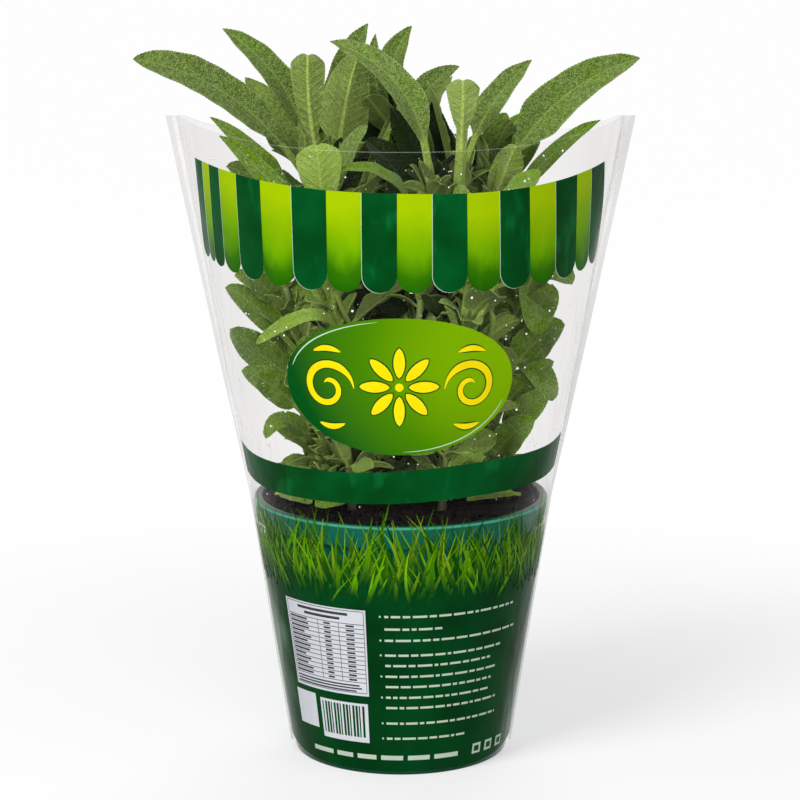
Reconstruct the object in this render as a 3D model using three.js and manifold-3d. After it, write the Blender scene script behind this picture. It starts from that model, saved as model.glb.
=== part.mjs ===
// A potted sage in a clear film sleeve: the pot, the growing medium in it, the sleeve round both and
// fourteen leafy stems.
// Millimetres, +Z up. The origin is the centre of the pot's foot ring, on the surface it stands on,
// and the printed front of the sleeve faces -Y.
import * as THREE from "three";
import { mergeVertices } from "three/addons/utils/BufferGeometryUtils.js";
import Module from "manifold-3d";

const wasm = await Module();
wasm.setup();

// Driving dimensions
const SEGMENTS = 36; // facets round the pot, the medium and the sleeve
const GAP = 0.35; // clearance between pieces that touch on the real thing

const POT_HEIGHT = 124;
const POT_RIM_RADIUS = 70;
const POT_BASE_RADIUS = 50.8;
const POT_WALL = 1.1;
const POT_FLOOR = 3; // the underside of the drain channel
const POT_LIP_HEIGHT = 11;
const POT_LIP_OVERHANG = 3.2;
const POT_LIP_TAPER = 1.7;
const POT_FOOT_WIDTH = 5;
const POT_PAD_RADIUS = 14; // the flat pad in the middle of the base
const DRAIN_COUNT = 6;
const DRAIN_RADIUS = 4.5;
const DRAIN_CIRCLE = 30;

const SOIL_LEVEL = 119.5;
const SOIL_MOUND = 2.2;
const SOIL_BUMP = 1.1;
const SOIL_RINGS = 5;
const HOLE_DEPTH = 16;

const FILM = 0.6;
const SLEEVE_BOTTOM = 1;
const SLEEVE_BASE_RADIUS = 52;
const SLEEVE_RIM_RADIUS = 71.1; // outside the film, at the pot's rim
const SLEEVE_TOP = 295.8; // the middle of the front edge
const SLEEVE_CORNER_RISE = 10.2;
const SLEEVE_HALF_WIDTH = 104; // at the top, without the flanges
const SLEEVE_HALF_DEPTH = 86;
const FLANGE_TOP = 5.5;
const FLANGE_BOTTOM = 1.2;
const FLANGE_SHOULDER = 0.014; // half the angle that the flange's root takes up

const STEM_SIDES = 5;
const STEM_BASE_RADIUS = 1.9;
const STEM_TOP_RADIUS = 1.1;
const STEM_RING_SPACING = 30;
const LEAF_THICKNESS = 1.1;
const STALK_THICKNESS = 1.9;
const NODE_SPACING = 12.6; // between the pairs of leaves on a stem
const SEED = 20;

// Helpers
function bodyGeometry(positions, triangles) {
  const geometry = new THREE.BufferGeometry();
  geometry.setAttribute("position", new THREE.Float32BufferAttribute(positions, 3));
  geometry.setIndex(triangles);
  return geometry;
}

function toSolid(geometry) {
  const bare = geometry.clone();
  bare.deleteAttribute("normal");
  bare.deleteAttribute("uv");
  const merged = mergeVertices(bare, 1e-4);
  return new wasm.Manifold(
    new wasm.Mesh({
      numProp: 3,
      vertProperties: merged.attributes.position.array,
      triVerts: new Uint32Array(merged.index.array),
    }),
  );
}

function toGeometry(solid) {
  const { vertProperties, triVerts } = solid.getMesh();
  return bodyGeometry(Array.from(vertProperties), Array.from(triVerts));
}

function seededRandom(seed) {
  let state = seed >>> 0;
  return () => {
    state = (state + 0x6d2b79f5) >>> 0;
    let t = state;
    t = Math.imul(t ^ (t >>> 15), t | 1);
    t ^= t + Math.imul(t ^ (t >>> 7), t | 61);
    return ((t ^ (t >>> 14)) >>> 0) / 4294967296;
  };
}

const mix = (a, b, share) => a + (b - a) * share;

// Pot: one turned profile, with a raised drain channel between the foot ring and the middle pad,
// and a turned-down lip
const wallRadius = (z) =>
  mix(POT_BASE_RADIUS, POT_RIM_RADIUS - POT_LIP_OVERHANG, z / POT_HEIGHT);

function makePot() {
  const lipBottom = POT_HEIGHT - POT_LIP_HEIGHT;
  const lipOuter = POT_RIM_RADIUS - POT_LIP_TAPER;
  const floorTop = POT_FLOOR + POT_WALL;
  const profile = [
    [0, 0],
    [POT_PAD_RADIUS, 0],
    [POT_PAD_RADIUS + 1.5, POT_FLOOR],
    [POT_BASE_RADIUS - POT_FOOT_WIDTH - 1.5, POT_FLOOR],
    [POT_BASE_RADIUS - POT_FOOT_WIDTH, 0],
    [POT_BASE_RADIUS - 0.8, 0],
    [POT_BASE_RADIUS, 0.8],
    [wallRadius(lipBottom + 3), lipBottom + 3],
    [wallRadius(POT_HEIGHT - 2), POT_HEIGHT - 2],
    [POT_RIM_RADIUS - POT_WALL - 0.4, POT_HEIGHT - 2],
    [lipOuter - POT_WALL, lipBottom],
    [lipOuter, lipBottom],
    [POT_RIM_RADIUS, POT_HEIGHT - 1],
    [POT_RIM_RADIUS - 0.7, POT_HEIGHT],
    [wallRadius(POT_HEIGHT) - 0.4, POT_HEIGHT],
    [wallRadius(POT_HEIGHT) - POT_WALL, POT_HEIGHT - 0.8],
    [wallRadius(floorTop) - POT_WALL, floorTop + 1.2],
    [wallRadius(floorTop) - POT_WALL - 1.2, floorTop],
    [0, floorTop],
  ].map(([r, z]) => new THREE.Vector2(r, z));
  const turned = new THREE.LatheGeometry(profile, SEGMENTS).rotateX(Math.PI / 2);
  let pot = toSolid(turned);
  for (let i = 0; i < DRAIN_COUNT; i++) {
    const angle = ((i + 0.5) * 2 * Math.PI) / DRAIN_COUNT;
    const drill = new THREE.CylinderGeometry(DRAIN_RADIUS, DRAIN_RADIUS, 8, 12)
      .rotateX(Math.PI / 2)
      .translate(DRAIN_CIRCLE * Math.cos(angle), DRAIN_CIRCLE * Math.sin(angle), POT_FLOOR);
    pot = pot.subtract(toSolid(drill));
  }
  return pot;
}

// Sleeve: a film shell, round at the pot's rim and oval at its mouth, with a welded flange on each
// side. Angles run from the middle of the front, and every level has the same number of points.
function sleeveRadii(z) {
  if (z <= POT_HEIGHT) {
    const r = mix(SLEEVE_BASE_RADIUS, SLEEVE_RIM_RADIUS, z / POT_HEIGHT);
    return { x: r, y: r };
  }
  const share = (z - POT_HEIGHT) / (SLEEVE_TOP + SLEEVE_CORNER_RISE - POT_HEIGHT);
  return {
    x: mix(SLEEVE_RIM_RADIUS, SLEEVE_HALF_WIDTH, share),
    y: mix(SLEEVE_RIM_RADIUS, SLEEVE_HALF_DEPTH, share ** 0.8),
  };
}

const edgeHeight = (angle) => SLEEVE_TOP + SLEEVE_CORNER_RISE * Math.abs(Math.sin(angle)) ** 3;

function sleeveAngles() {
  const quarter = SEGMENTS / 4;
  const angles = [];
  for (let i = 0; i < SEGMENTS; i++) {
    const angle = (i * 2 * Math.PI) / SEGMENTS;
    if (i % (2 * quarter) !== quarter) angles.push({ angle, flange: false });
    else {
      angles.push({ angle: angle - FLANGE_SHOULDER, flange: false });
      angles.push({ angle, flange: true });
      angles.push({ angle: angle + FLANGE_SHOULDER, flange: false });
    }
  }
  return angles;
}

function makeSleeve() {
  const shares = [0, 0.2, 0.405, 0.56, 0.7, 0.85, 1];
  const angles = sleeveAngles();
  const positions = [];
  const level = (share, inset) => {
    for (const { angle, flange } of angles) {
      const z = mix(SLEEVE_BOTTOM, edgeHeight(angle), share);
      const radii = sleeveRadii(z);
      let x = (radii.x - inset) * Math.sin(angle);
      const y = -(radii.y - inset) * Math.cos(angle);
      if (flange && inset === 0) {
        const rise = Math.max(0, z - POT_HEIGHT) / (SLEEVE_TOP - POT_HEIGHT);
        x += Math.sign(x) * mix(FLANGE_BOTTOM, FLANGE_TOP, rise);
      }
      positions.push(x, y, z);
    }
  };
  shares.forEach((share) => level(share, 0));
  [...shares].reverse().forEach((share) => level(share, FILM));
  const rings = shares.length * 2;
  const count = angles.length;
  const triangles = [];
  for (let r = 0; r < rings; r++) {
    for (let i = 0; i < count; i++) {
      const a = r * count + i;
      const b = r * count + ((i + 1) % count);
      const c = ((r + 1) % rings) * count + ((i + 1) % count);
      const d = ((r + 1) % rings) * count + i;
      triangles.push(a, b, c, a, c, d);
    }
  }
  return toSolid(bodyGeometry(positions, triangles));
}

// Stems: each stands upright in its hole and leans out above the soil. Its axis is a function of
// the height, so a leaf's root is found from a height alone.
const BURIED = HOLE_DEPTH - 2;
const STEMS = [
  { name: "01", base: [-22, 3], top: [-43, 3, 279] },
  { name: "02", base: [-13, -11], top: [-31, -8, 277] },
  { name: "03", base: [3, -15], top: [14, -27, 271] },
  { name: "04", base: [14, -6], top: [27, -18, 272] },
  { name: "05", base: [26, -3], top: [43, -8, 268] },
  { name: "06", base: [-15, 17], top: [-29, 27, 272] },
  { name: "07", base: [0, 10], top: [0, 24, 290] },
  { name: "08", base: [16, 18], top: [36, 26, 277] },
  { name: "09", base: [-23, -26], top: [-37, -40, 258] },
  { name: "10", base: [19, -28], top: [38, -46, 252] },
  { name: "11", base: [-37, 3], top: [-58, 8, 236] },
  { name: "12", base: [40, 2], top: [61, 6, 238] },
  { name: "13", base: [-17, 38], top: [-26, 54, 246] },
  { name: "14", base: [19, 39], top: [26, 54, 250] },
];
const RISE_START = SOIL_LEVEL + SOIL_MOUND + 2;

function stemPoint(stem, z) {
  const share = Math.max(0, (z - RISE_START) / (stem.top[2] - RISE_START));
  const lean = share * (0.55 + 0.45 * share);
  return new THREE.Vector3(
    mix(stem.base[0], stem.top[0], lean),
    mix(stem.base[1], stem.top[1], lean),
    z,
  );
}

function makeStemCore(stem) {
  const bottom = SOIL_LEVEL - BURIED;
  const rings = Math.round((stem.top[2] - RISE_START) / STEM_RING_SPACING);
  const heights = [bottom];
  for (let k = 0; k <= rings; k++) heights.push(mix(RISE_START, stem.top[2], k / rings));
  const positions = [];
  for (const z of heights) {
    const centre = stemPoint(stem, z);
    const radius = mix(STEM_BASE_RADIUS, STEM_TOP_RADIUS, (z - bottom) / (stem.top[2] - bottom));
    for (let i = 0; i < STEM_SIDES; i++) {
      const angle = (i * 2 * Math.PI) / STEM_SIDES;
      positions.push(centre.x + radius * Math.cos(angle), centre.y + radius * Math.sin(angle), z);
    }
  }
  const triangles = [];
  for (let k = 0; k < heights.length - 1; k++) {
    for (let i = 0; i < STEM_SIDES; i++) {
      const a = k * STEM_SIDES + i;
      const b = k * STEM_SIDES + ((i + 1) % STEM_SIDES);
      triangles.push(a, b, b + STEM_SIDES, a, b + STEM_SIDES, a + STEM_SIDES);
    }
  }
  const last = (heights.length - 1) * STEM_SIDES;
  for (let i = 1; i < STEM_SIDES - 1; i++) {
    triangles.push(0, i + 1, i, last, last + i, last + i + 1);
  }
  return toSolid(bodyGeometry(positions, triangles));
}

// Growing medium: a low mound with crumbly bumps, and a plain hole for each stem
function soilHeight(x, y, rim) {
  const mound = SOIL_MOUND * (1 - (Math.hypot(x, y) / rim) ** 2);
  const bumps = Math.sin(x * 0.31 + 1.3) * Math.cos(y * 0.37) + 0.6 * Math.sin(x * 0.73 - y * 0.61);
  return SOIL_LEVEL + mound + SOIL_BUMP * bumps * 0.6;
}

function makeSoil() {
  const rim = wallRadius(SOIL_LEVEL) - POT_WALL - GAP - 0.4;
  const bottom = POT_FLOOR + POT_WALL + GAP;
  const foot = wallRadius(bottom) - POT_WALL - GAP - 1.6;
  const positions = [0, 0, soilHeight(0, 0, rim)];
  for (let k = 1; k <= SOIL_RINGS; k++) {
    for (let i = 0; i < SEGMENTS; i++) {
      const angle = (i * 2 * Math.PI) / SEGMENTS;
      const r = (rim * k) / SOIL_RINGS;
      const x = r * Math.cos(angle);
      const y = r * Math.sin(angle);
      positions.push(x, y, k === SOIL_RINGS ? SOIL_LEVEL - 1 : soilHeight(x, y, rim));
    }
  }
  for (let i = 0; i < SEGMENTS; i++) {
    const angle = (i * 2 * Math.PI) / SEGMENTS;
    positions.push(foot * Math.cos(angle), foot * Math.sin(angle), bottom);
  }
  positions.push(0, 0, bottom);
  const triangles = [];
  for (let k = 0; k <= SOIL_RINGS; k++) {
    for (let i = 0; i < SEGMENTS; i++) {
      const next = (i + 1) % SEGMENTS;
      const ring = 1 + (k - 1) * SEGMENTS;
      if (k === 0) triangles.push(0, 1 + i, 1 + next);
      else {
        const a = ring + i;
        const b = ring + next;
        triangles.push(a, a + SEGMENTS, b + SEGMENTS, a, b + SEGMENTS, b);
      }
    }
  }
  const centre = positions.length / 3 - 1;
  const lastRing = centre - SEGMENTS;
  for (let i = 0; i < SEGMENTS; i++) {
    triangles.push(centre, lastRing + ((i + 1) % SEGMENTS), lastRing + i);
  }
  let soil = toSolid(bodyGeometry(positions, triangles));
  for (const stem of STEMS) {
    const radius = STEM_BASE_RADIUS + GAP;
    const hole = new THREE.CylinderGeometry(radius, radius, HOLE_DEPTH + 20, 10)
      .rotateX(Math.PI / 2)
      .translate(stem.base[0], stem.base[1], SOIL_LEVEL - HOLE_DEPTH + (HOLE_DEPTH + 20) / 2);
    soil = soil.subtract(toSolid(hole));
  }
  return soil;
}

// Leaf: four-sided sections strung along its midrib, each with the rib on top, the keel below and
// two waved edges, split into triangles alike on both faces.
const BLADE_STEPS = { long: [0.1, 0.28, 0.5, 0.7, 0.87], short: [0.3, 0.72] };

const bladeWidth = (share) => (4 * share ** 0.85 * (1 - share ** 0.85)) ** 0.6;

function makeLeaf({ root, knee, tip, face, width, stalk = 0.3, fold = 0.22, wave = 0.1 }) {
  const midrib = new THREE.QuadraticBezierCurve3(root, knee, tip);
  const steps = width > 8 && midrib.getLength() > 40 ? BLADE_STEPS.long : BLADE_STEPS.short;
  const stalkHalf = 0.9 + width * 0.03;
  const sections = [
    { share: 0, half: stalkHalf, thick: STALK_THICKNESS, lift: 0 },
    { share: stalk, half: stalkHalf + 0.2, thick: STALK_THICKNESS * 0.85, lift: 0.05 },
  ];
  steps.forEach((blade, k) => {
    const swing = k % 2 ? 1 : -1;
    sections.push({
      share: mix(stalk, 1, blade),
      half: Math.max(stalkHalf, (width / 2) * bladeWidth(blade)) * (1 + 0.04 * swing),
      thick: LEAF_THICKNESS,
      lift: fold + wave * swing,
    });
  });
  const positions = [];
  for (const { share, half, thick, lift } of sections) {
    const centre = midrib.getPoint(share);
    const along = midrib.getTangent(share);
    const across = new THREE.Vector3().crossVectors(along, face).normalize();
    const normal = new THREE.Vector3().crossVectors(across, along);
    const put = (sideways, up) => {
      const p = centre.clone().addScaledVector(across, sideways).addScaledVector(normal, up);
      positions.push(p.x, p.y, p.z);
    };
    put(0, thick / 2);
    put(half, lift * half);
    put(0, -thick / 2);
    put(-half, lift * half);
  }
  positions.push(tip.x, tip.y, tip.z);
  const triangles = [0, 3, 2, 0, 2, 1];
  for (let k = 0; k < sections.length - 1; k++) {
    for (let i = 0; i < 4; i++) {
      const a = 4 * k + i;
      const b = 4 * k + ((i + 1) % 4);
      if (i % 2 === 0) triangles.push(a, b, b + 4, a, b + 4, a + 4);
      else triangles.push(a, b, a + 4, b, b + 4, a + 4);
    }
  }
  const last = 4 * (sections.length - 1);
  for (let i = 0; i < 4; i++) triangles.push(last + i, last + ((i + 1) % 4), last + 4);
  return toSolid(bodyGeometry(positions, triangles));
}

// Leaves that give the plant its outline, set one by one: the stem, the height of the root, the
// knee and the tip of the midrib, and the way the upper face looks.
const UP_FRONT = [0, -0.6, 0.8];
const UP_LEFT = [-0.2, -0.85, 0.5];
const UP_RIGHT = [0.2, -0.85, 0.5];
const TO_FRONT = [-0.3, -0.9, 0.3];
const TO_LEFT = [0.35, -0.9, 0.3];
const ARCHING = [0.1, -0.77, 0.63];
const UP_BACK = [0.1, -0.4, 0.9];
const BACKWARD = [0, 1, 0.25];
const LONG_LEAVES = [
  { stem: "01", from: 268, knee: [-70, -17, 328], tip: [-121, -30, 332], width: 15, face: ARCHING },
  { stem: "01", from: 274, knee: [-53, 9, 315], tip: [-83, 12, 343], width: 13, face: TO_LEFT },
  { stem: "01", from: 262, knee: [-54, 8, 300], tip: [-74, 14, 321], width: 12, face: UP_LEFT },
  { stem: "01", from: 256, knee: [-70, -14, 292], tip: [-87, -22, 305], width: 9, face: UP_LEFT },
  { stem: "02", from: 262, knee: [-44, -26, 292], tip: [-42, -30, 334], width: 16, face: BACKWARD },
  { stem: "02", from: 268, knee: [-33, -6, 300], tip: [-23, 2, 335], width: 19, face: BACKWARD },
  { stem: "03", from: 258, knee: [8, -44, 332], tip: [-32, -30, 340], width: 17, face: ARCHING },
  { stem: "03", from: 252, knee: [-4, -56, 292], tip: [-29, -57, 284], width: 9, face: UP_FRONT },
  { stem: "04", from: 258, knee: [28, -42, 290], tip: [28, -38, 324], width: 16, face: BACKWARD,
    stalk: 0.5 },
  { stem: "04", from: 264, knee: [34, -14, 302], tip: [60, -10, 330], width: 11, face: TO_FRONT },
  { stem: "05", from: 258, knee: [62, -26, 316], tip: [108, -30, 334], width: 18, face: ARCHING },
  { stem: "05", from: 250, knee: [70, -4, 292], tip: [93, 4, 301], width: 8, face: UP_RIGHT },
  { stem: "06", from: 262, knee: [-36, 30, 312], tip: [-15, 32, 344], width: 12, face: TO_FRONT },
  { stem: "06", from: 254, knee: [-50, 46, 300], tip: [-70, 50, 318], width: 14, face: UP_BACK },
  { stem: "07", from: 282, knee: [-6, 34, 318], tip: [5, 36, 343], width: 12, face: TO_FRONT },
  { stem: "07", from: 276, knee: [-14, 18, 312], tip: [-11, 18, 340], width: 8, face: TO_LEFT },
  { stem: "07", from: 270, knee: [2, 8, 314], tip: [26, 5, 327], width: 12, face: TO_FRONT },
  { stem: "08", from: 262, knee: [44, 28, 290], tip: [50, 30, 302], width: 13, face: TO_FRONT },
  { stem: "08", from: 254, knee: [60, 14, 280], tip: [65, 18, 296], width: 9, face: TO_FRONT },
  { stem: "08", from: 258, knee: [54, 52, 300], tip: [72, 56, 314], width: 14, face: UP_BACK },
  { stem: "09", from: 244, knee: [-64, -40, 288], tip: [-82, -38, 298], width: 10, face: UP_LEFT },
  { stem: "09", from: 240, knee: [-36, -62, 270], tip: [-44, -61, 297], width: 17, face: BACKWARD },
  { stem: "09", from: 200, knee: [-50, -53, 229], tip: [-65, -41, 206], width: 7, face: UP_LEFT },
  { stem: "11", from: 188, knee: [-70, -4, 220], tip: [-82, -8, 224], width: 13, face: UP_LEFT },
  { stem: "11", from: 208, knee: [-66, -10, 230], tip: [-77, -15, 231], width: 12, face: UP_LEFT },
  { stem: "11", from: 172, knee: [-68, -10, 194], tip: [-79, -18, 206], width: 16, face: UP_LEFT },
  { stem: "11", from: 156, knee: [-60, -14, 182], tip: [-74, -22, 187], width: 14, face: UP_LEFT },
  { stem: "11", from: 144, knee: [-56, -22, 174], tip: [-63, -27, 156], width: 10, face: UP_LEFT },
  { stem: "12", from: 200, knee: [66, -20, 216], tip: [70, -26, 228], width: 16, face: UP_RIGHT },
  { stem: "12", from: 176, knee: [64, -12, 204], tip: [76, -18, 208], width: 18, face: UP_RIGHT },
  { stem: "12", from: 160, knee: [62, -16, 186], tip: [71, -19, 191], width: 12, face: UP_RIGHT },
  { stem: "12", from: 146, knee: [58, -18, 168], tip: [69, -20, 177], width: 14, face: UP_RIGHT },
  { stem: "12", from: 136, knee: [50, -22, 158], tip: [62, -28, 165], width: 15, face: UP_RIGHT },
];

// Seeded leaves: opposite pairs up each stem, each pair a quarter turn from the last, small low
// down and longer near the top. A leaf takes the first draw in which it is clear of everything.
const DRAWS = 22;

function drawLeaf(stem, z, angle, draw, random) {
  const share = (z - RISE_START) / (stem.top[2] - RISE_START);
  const size = 1 - 0.028 * draw;
  const turn = angle + (random() - 0.5) * 1.5;
  const reach = mix(27, 50, share ** 1.3) * mix(0.85, 1.15, random()) * size;
  const pitch = mix(0.4, 1.0, share) + (random() - 0.5) * 0.7;
  const sag = mix(0.05, 0.28, random());
  const width = mix(12, 15, share) * mix(0.85, 1.2, random()) * size;
  const root = stemPoint(stem, z);
  const out = new THREE.Vector3(Math.cos(turn), Math.sin(turn), 0);
  const tip = root.clone().addScaledVector(out, reach * Math.cos(pitch));
  tip.z += reach * Math.sin(pitch);
  const knee = root.clone().lerp(tip, 0.5);
  knee.z += reach * sag;
  const roll = (random() - 0.5) * 2.4;
  const face = new THREE.Vector3(-0.6 * out.x - roll * out.y, -0.6 * out.y + roll * out.x, 0.7);
  return { root, knee, tip, face, width, stalk: 0.28 };
}

const near = (a, b) => {
  const p = a.boundingBox();
  const q = b.boundingBox();
  return [0, 1, 2].every((i) => p.min[i] < q.max[i] + GAP && q.min[i] < p.max[i] + GAP);
};

const touches = (a, b) => near(a, b) && a.minGap(b, GAP) < GAP * 0.9;
const crosses = (a, b) => near(a, b) && a.intersect(b).volume() > 0.4;

function makePlants(fixed) {
  const plants = STEMS.map((stem) => ({ stem, core: makeStemCore(stem), leaves: [] }));
  const clear = (leaf, own) =>
    !fixed.some((solid) => touches(leaf, solid)) &&
    !plants.some((p) => p !== own && [p.core, ...p.leaves].some((s) => touches(leaf, s))) &&
    !own.leaves.some((s) => crosses(leaf, s));
  for (const { stem, from, knee, tip, face, ...form } of LONG_LEAVES) {
    const own = plants.find((plant) => plant.stem.name === stem);
    const leaf = makeLeaf({
      root: stemPoint(own.stem, from),
      knee: new THREE.Vector3(...knee),
      tip: new THREE.Vector3(...tip),
      face: new THREE.Vector3(...face),
      ...form,
    });
    own.leaves.push(leaf);
  }
  plants.forEach((own, index) => {
    const random = seededRandom(SEED + index);
    const { stem } = own;
    const nodes = Math.floor((stem.top[2] - 3 - RISE_START - 8) / NODE_SPACING);
    for (let k = 0; k <= nodes; k++) {
      const z = stem.top[2] - 3 - k * NODE_SPACING;
      for (const side of [0, Math.PI]) {
        const angle = index * 0.8 + k * (Math.PI / 2) + side;
        for (let draw = 0; draw < DRAWS; draw++) {
          const leaf = makeLeaf(drawLeaf(stem, z, angle, draw, random));
          if (!clear(leaf, own)) continue;
          own.leaves.push(leaf);
          break;
        }
      }
    }
  });
  return plants;
}

// Assembly
const finish = {
  pot: new THREE.MeshStandardMaterial({ color: 0x0b6b58, roughness: 0.35, metalness: 0 }),
  soil: new THREE.MeshStandardMaterial({ color: 0x241c1a, roughness: 1, metalness: 0 }),
  film: new THREE.MeshStandardMaterial({
    color: 0xdfe6e2,
    roughness: 0.12,
    metalness: 0,
    transparent: true,
    opacity: 0.3,
  }),
  leaf: new THREE.MeshStandardMaterial({ color: 0x5f7d3c, roughness: 0.85, metalness: 0 }),
};

const pottedSage = new THREE.Group();
function addPart(name, solid, material) {
  const mesh = new THREE.Mesh(toGeometry(solid), material);
  mesh.name = name;
  pottedSage.add(mesh);
}

const pot = makePot();
const soil = makeSoil();
const sleeve = makeSleeve();
addPart("pot", pot, finish.pot);
addPart("soil", soil, finish.soil);
addPart("sleeve", sleeve, finish.film);
for (const { stem, core, leaves } of makePlants([pot, soil, sleeve])) {
  addPart("sage_stem_" + stem.name, wasm.Manifold.union([core, ...leaves]), finish.leaf);
}

export default pottedSage;
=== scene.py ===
# %% [markdown]
# A potted sage in a printed film sleeve.
# The pot, the growing medium, the sleeve and fourteen leafy stems were built before as plain solids.
# Here each of them gets the fine surface of the real thing. Every piece that is made below stands
# where its plain solid stands, so the plant can be looked at from any side.
# Lengths in this lesson are in millimetres and angles in degrees, because that is how a grower or a
# printer gives them. They turn into metres and radians only where a mesh or a lamp is made.

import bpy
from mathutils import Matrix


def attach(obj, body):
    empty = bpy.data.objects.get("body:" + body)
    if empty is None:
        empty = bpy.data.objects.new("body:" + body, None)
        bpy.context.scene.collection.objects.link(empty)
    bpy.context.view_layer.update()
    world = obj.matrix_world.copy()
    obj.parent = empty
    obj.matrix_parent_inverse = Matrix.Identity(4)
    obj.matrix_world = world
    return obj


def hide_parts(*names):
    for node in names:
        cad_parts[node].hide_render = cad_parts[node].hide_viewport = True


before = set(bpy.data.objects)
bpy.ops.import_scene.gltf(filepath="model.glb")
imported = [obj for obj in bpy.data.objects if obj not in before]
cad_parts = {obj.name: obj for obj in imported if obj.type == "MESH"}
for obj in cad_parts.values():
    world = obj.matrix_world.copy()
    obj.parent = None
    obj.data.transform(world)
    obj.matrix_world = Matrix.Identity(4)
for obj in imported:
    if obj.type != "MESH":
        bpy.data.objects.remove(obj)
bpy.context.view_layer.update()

# %% Tools of the lesson
import math

import bmesh
import bpy
import numpy as np
from mathutils import Vector, noise

MM = 0.001
BODY = "root"


def mix(a, b, share):
    return a + (b - a) * share


def smooth(value, low, high):
    """0 below low, 1 above high, and an even ramp without corners in between."""
    t = np.clip((np.asarray(value, float) - low) / (high - low), 0, 1)
    return t * t * (3 - 2 * t)


print("halfway from 10 to 20:", mix(10, 20, 0.5), "a quarter along an even ramp:", smooth(1, 0, 4))


# %% Seeded numbers
def seeded_random(seed):
    """Numbers from 0 to 1 in an order that the seed fixes, the same as the plain solids used."""
    bits = 0xFFFFFFFF
    state = seed & bits

    def draw():
        nonlocal state
        state = (state + 0x6D2B79F5) & bits
        t = state
        t = ((t ^ (t >> 15)) * (t | 1)) & bits
        t ^= (t + (((t ^ (t >> 7)) * (t | 61)) & bits)) & bits
        return ((t ^ (t >> 14)) & bits) / (bits + 1)

    return draw


print("first number of seed 1:", round(seeded_random(1)(), 4))


# %% Vectors, rings and objects
def as_vectors(x, y, z):
    """Three numbers, rows or grids of numbers as one row or grid of vectors."""
    return np.stack(np.broadcast_arrays(x, y, z), -1)


def ring_angles(count):
    return np.linspace(0, 2 * math.pi, count, endpoint=False)


def add_to_scene(name, data):
    made = bpy.data.objects.new(name, data)
    bpy.context.scene.collection.objects.link(made)
    return made


print("angles of a ring of four points:", ring_angles(4).round(2))

# %% [markdown]
# Every piece is a mesh with a finish. Some finishes need to know where on the piece they are, such as
# how far from a leaf's midrib. That could be painted or unwrapped, but it is simplest to write these
# numbers down while the points are made, as named vectors on the points, and to read them in the
# shader. A batch gathers many small shapes, such as leaves or crumbs, so that they become one mesh.

# %% A piece from points and faces
class Batch:
    """Points, faces, finishes and notes of many small shapes that become one mesh."""

    def __init__(self):
        self.points, self.faces, self.finishes, self.finish_of = [], [], [], []
        self.notes, self.count = {}, 0

    def add(self, points, faces, finish, **notes):
        """points are in mm. A note is one vector for all of them, or a vector for each."""
        points = np.asarray(points, float).reshape(-1, 3)
        if finish not in self.finishes:
            self.finishes.append(finish)
        self.faces += [[corner + self.count for corner in face] for face in faces]
        self.finish_of += [self.finishes.index(finish)] * len(faces)
        self.points.append(points)
        for title, note in notes.items():
            spread = np.broadcast_to(np.asarray(note, float).reshape(-1, 3), points.shape)
            self.notes.setdefault(title, []).append(spread)
        self.count += len(points)

    def make(self, name, slot, stands_for=()):
        """Turns the batch into one piece of the object. Film and its thin inks cast no shadow."""
        mesh = bpy.data.meshes.new(name)
        mesh.from_pydata((np.concatenate(self.points) * MM).tolist(), [], self.faces)
        for finish in self.finishes:
            mesh.materials.append(finish)
        for title, vectors in self.notes.items():
            note = mesh.attributes.new(title, "FLOAT_VECTOR", "POINT")
            note.data.foreach_set("vector", np.concatenate(vectors).astype(np.float32).ravel())
        mesh.polygons.foreach_set("material_index", np.array(self.finish_of, np.int32))
        mesh.polygons.foreach_set("use_smooth", np.ones(len(self.faces), bool))
        mesh.update()
        piece = add_to_scene(name, mesh)
        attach(piece, BODY)
        if stands_for:
            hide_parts(*stands_for)
        piece.visible_shadow = slot != "film"
        print(f"{name}: {self.count} points, {len(self.faces)} faces")
        return piece


print("a new batch has", Batch().count, "points")


# %% Faces of a grid
def grid_faces(rows, columns, closed=False):
    """Four-sided faces between rows of points, facing the way of columns x rows."""
    r = np.arange(rows - 1)[:, None] * columns
    c = np.arange(columns if closed else columns - 1)[None, :]
    after = (c + 1) % columns
    quads = np.stack([r + c, r + after, r + columns + after, r + columns + c], axis=-1)
    return quads.reshape(-1, 4).tolist()


print("faces of a grid of 2 x 3 points:", grid_faces(2, 3))


# %% [markdown]
# Finishes are sums of patterns. As nodes and links alone they are hard to read, so one small class
# wraps a socket and lets Python's own signs add the nodes: `1 - mask * 0.5` becomes two Math nodes.

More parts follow.
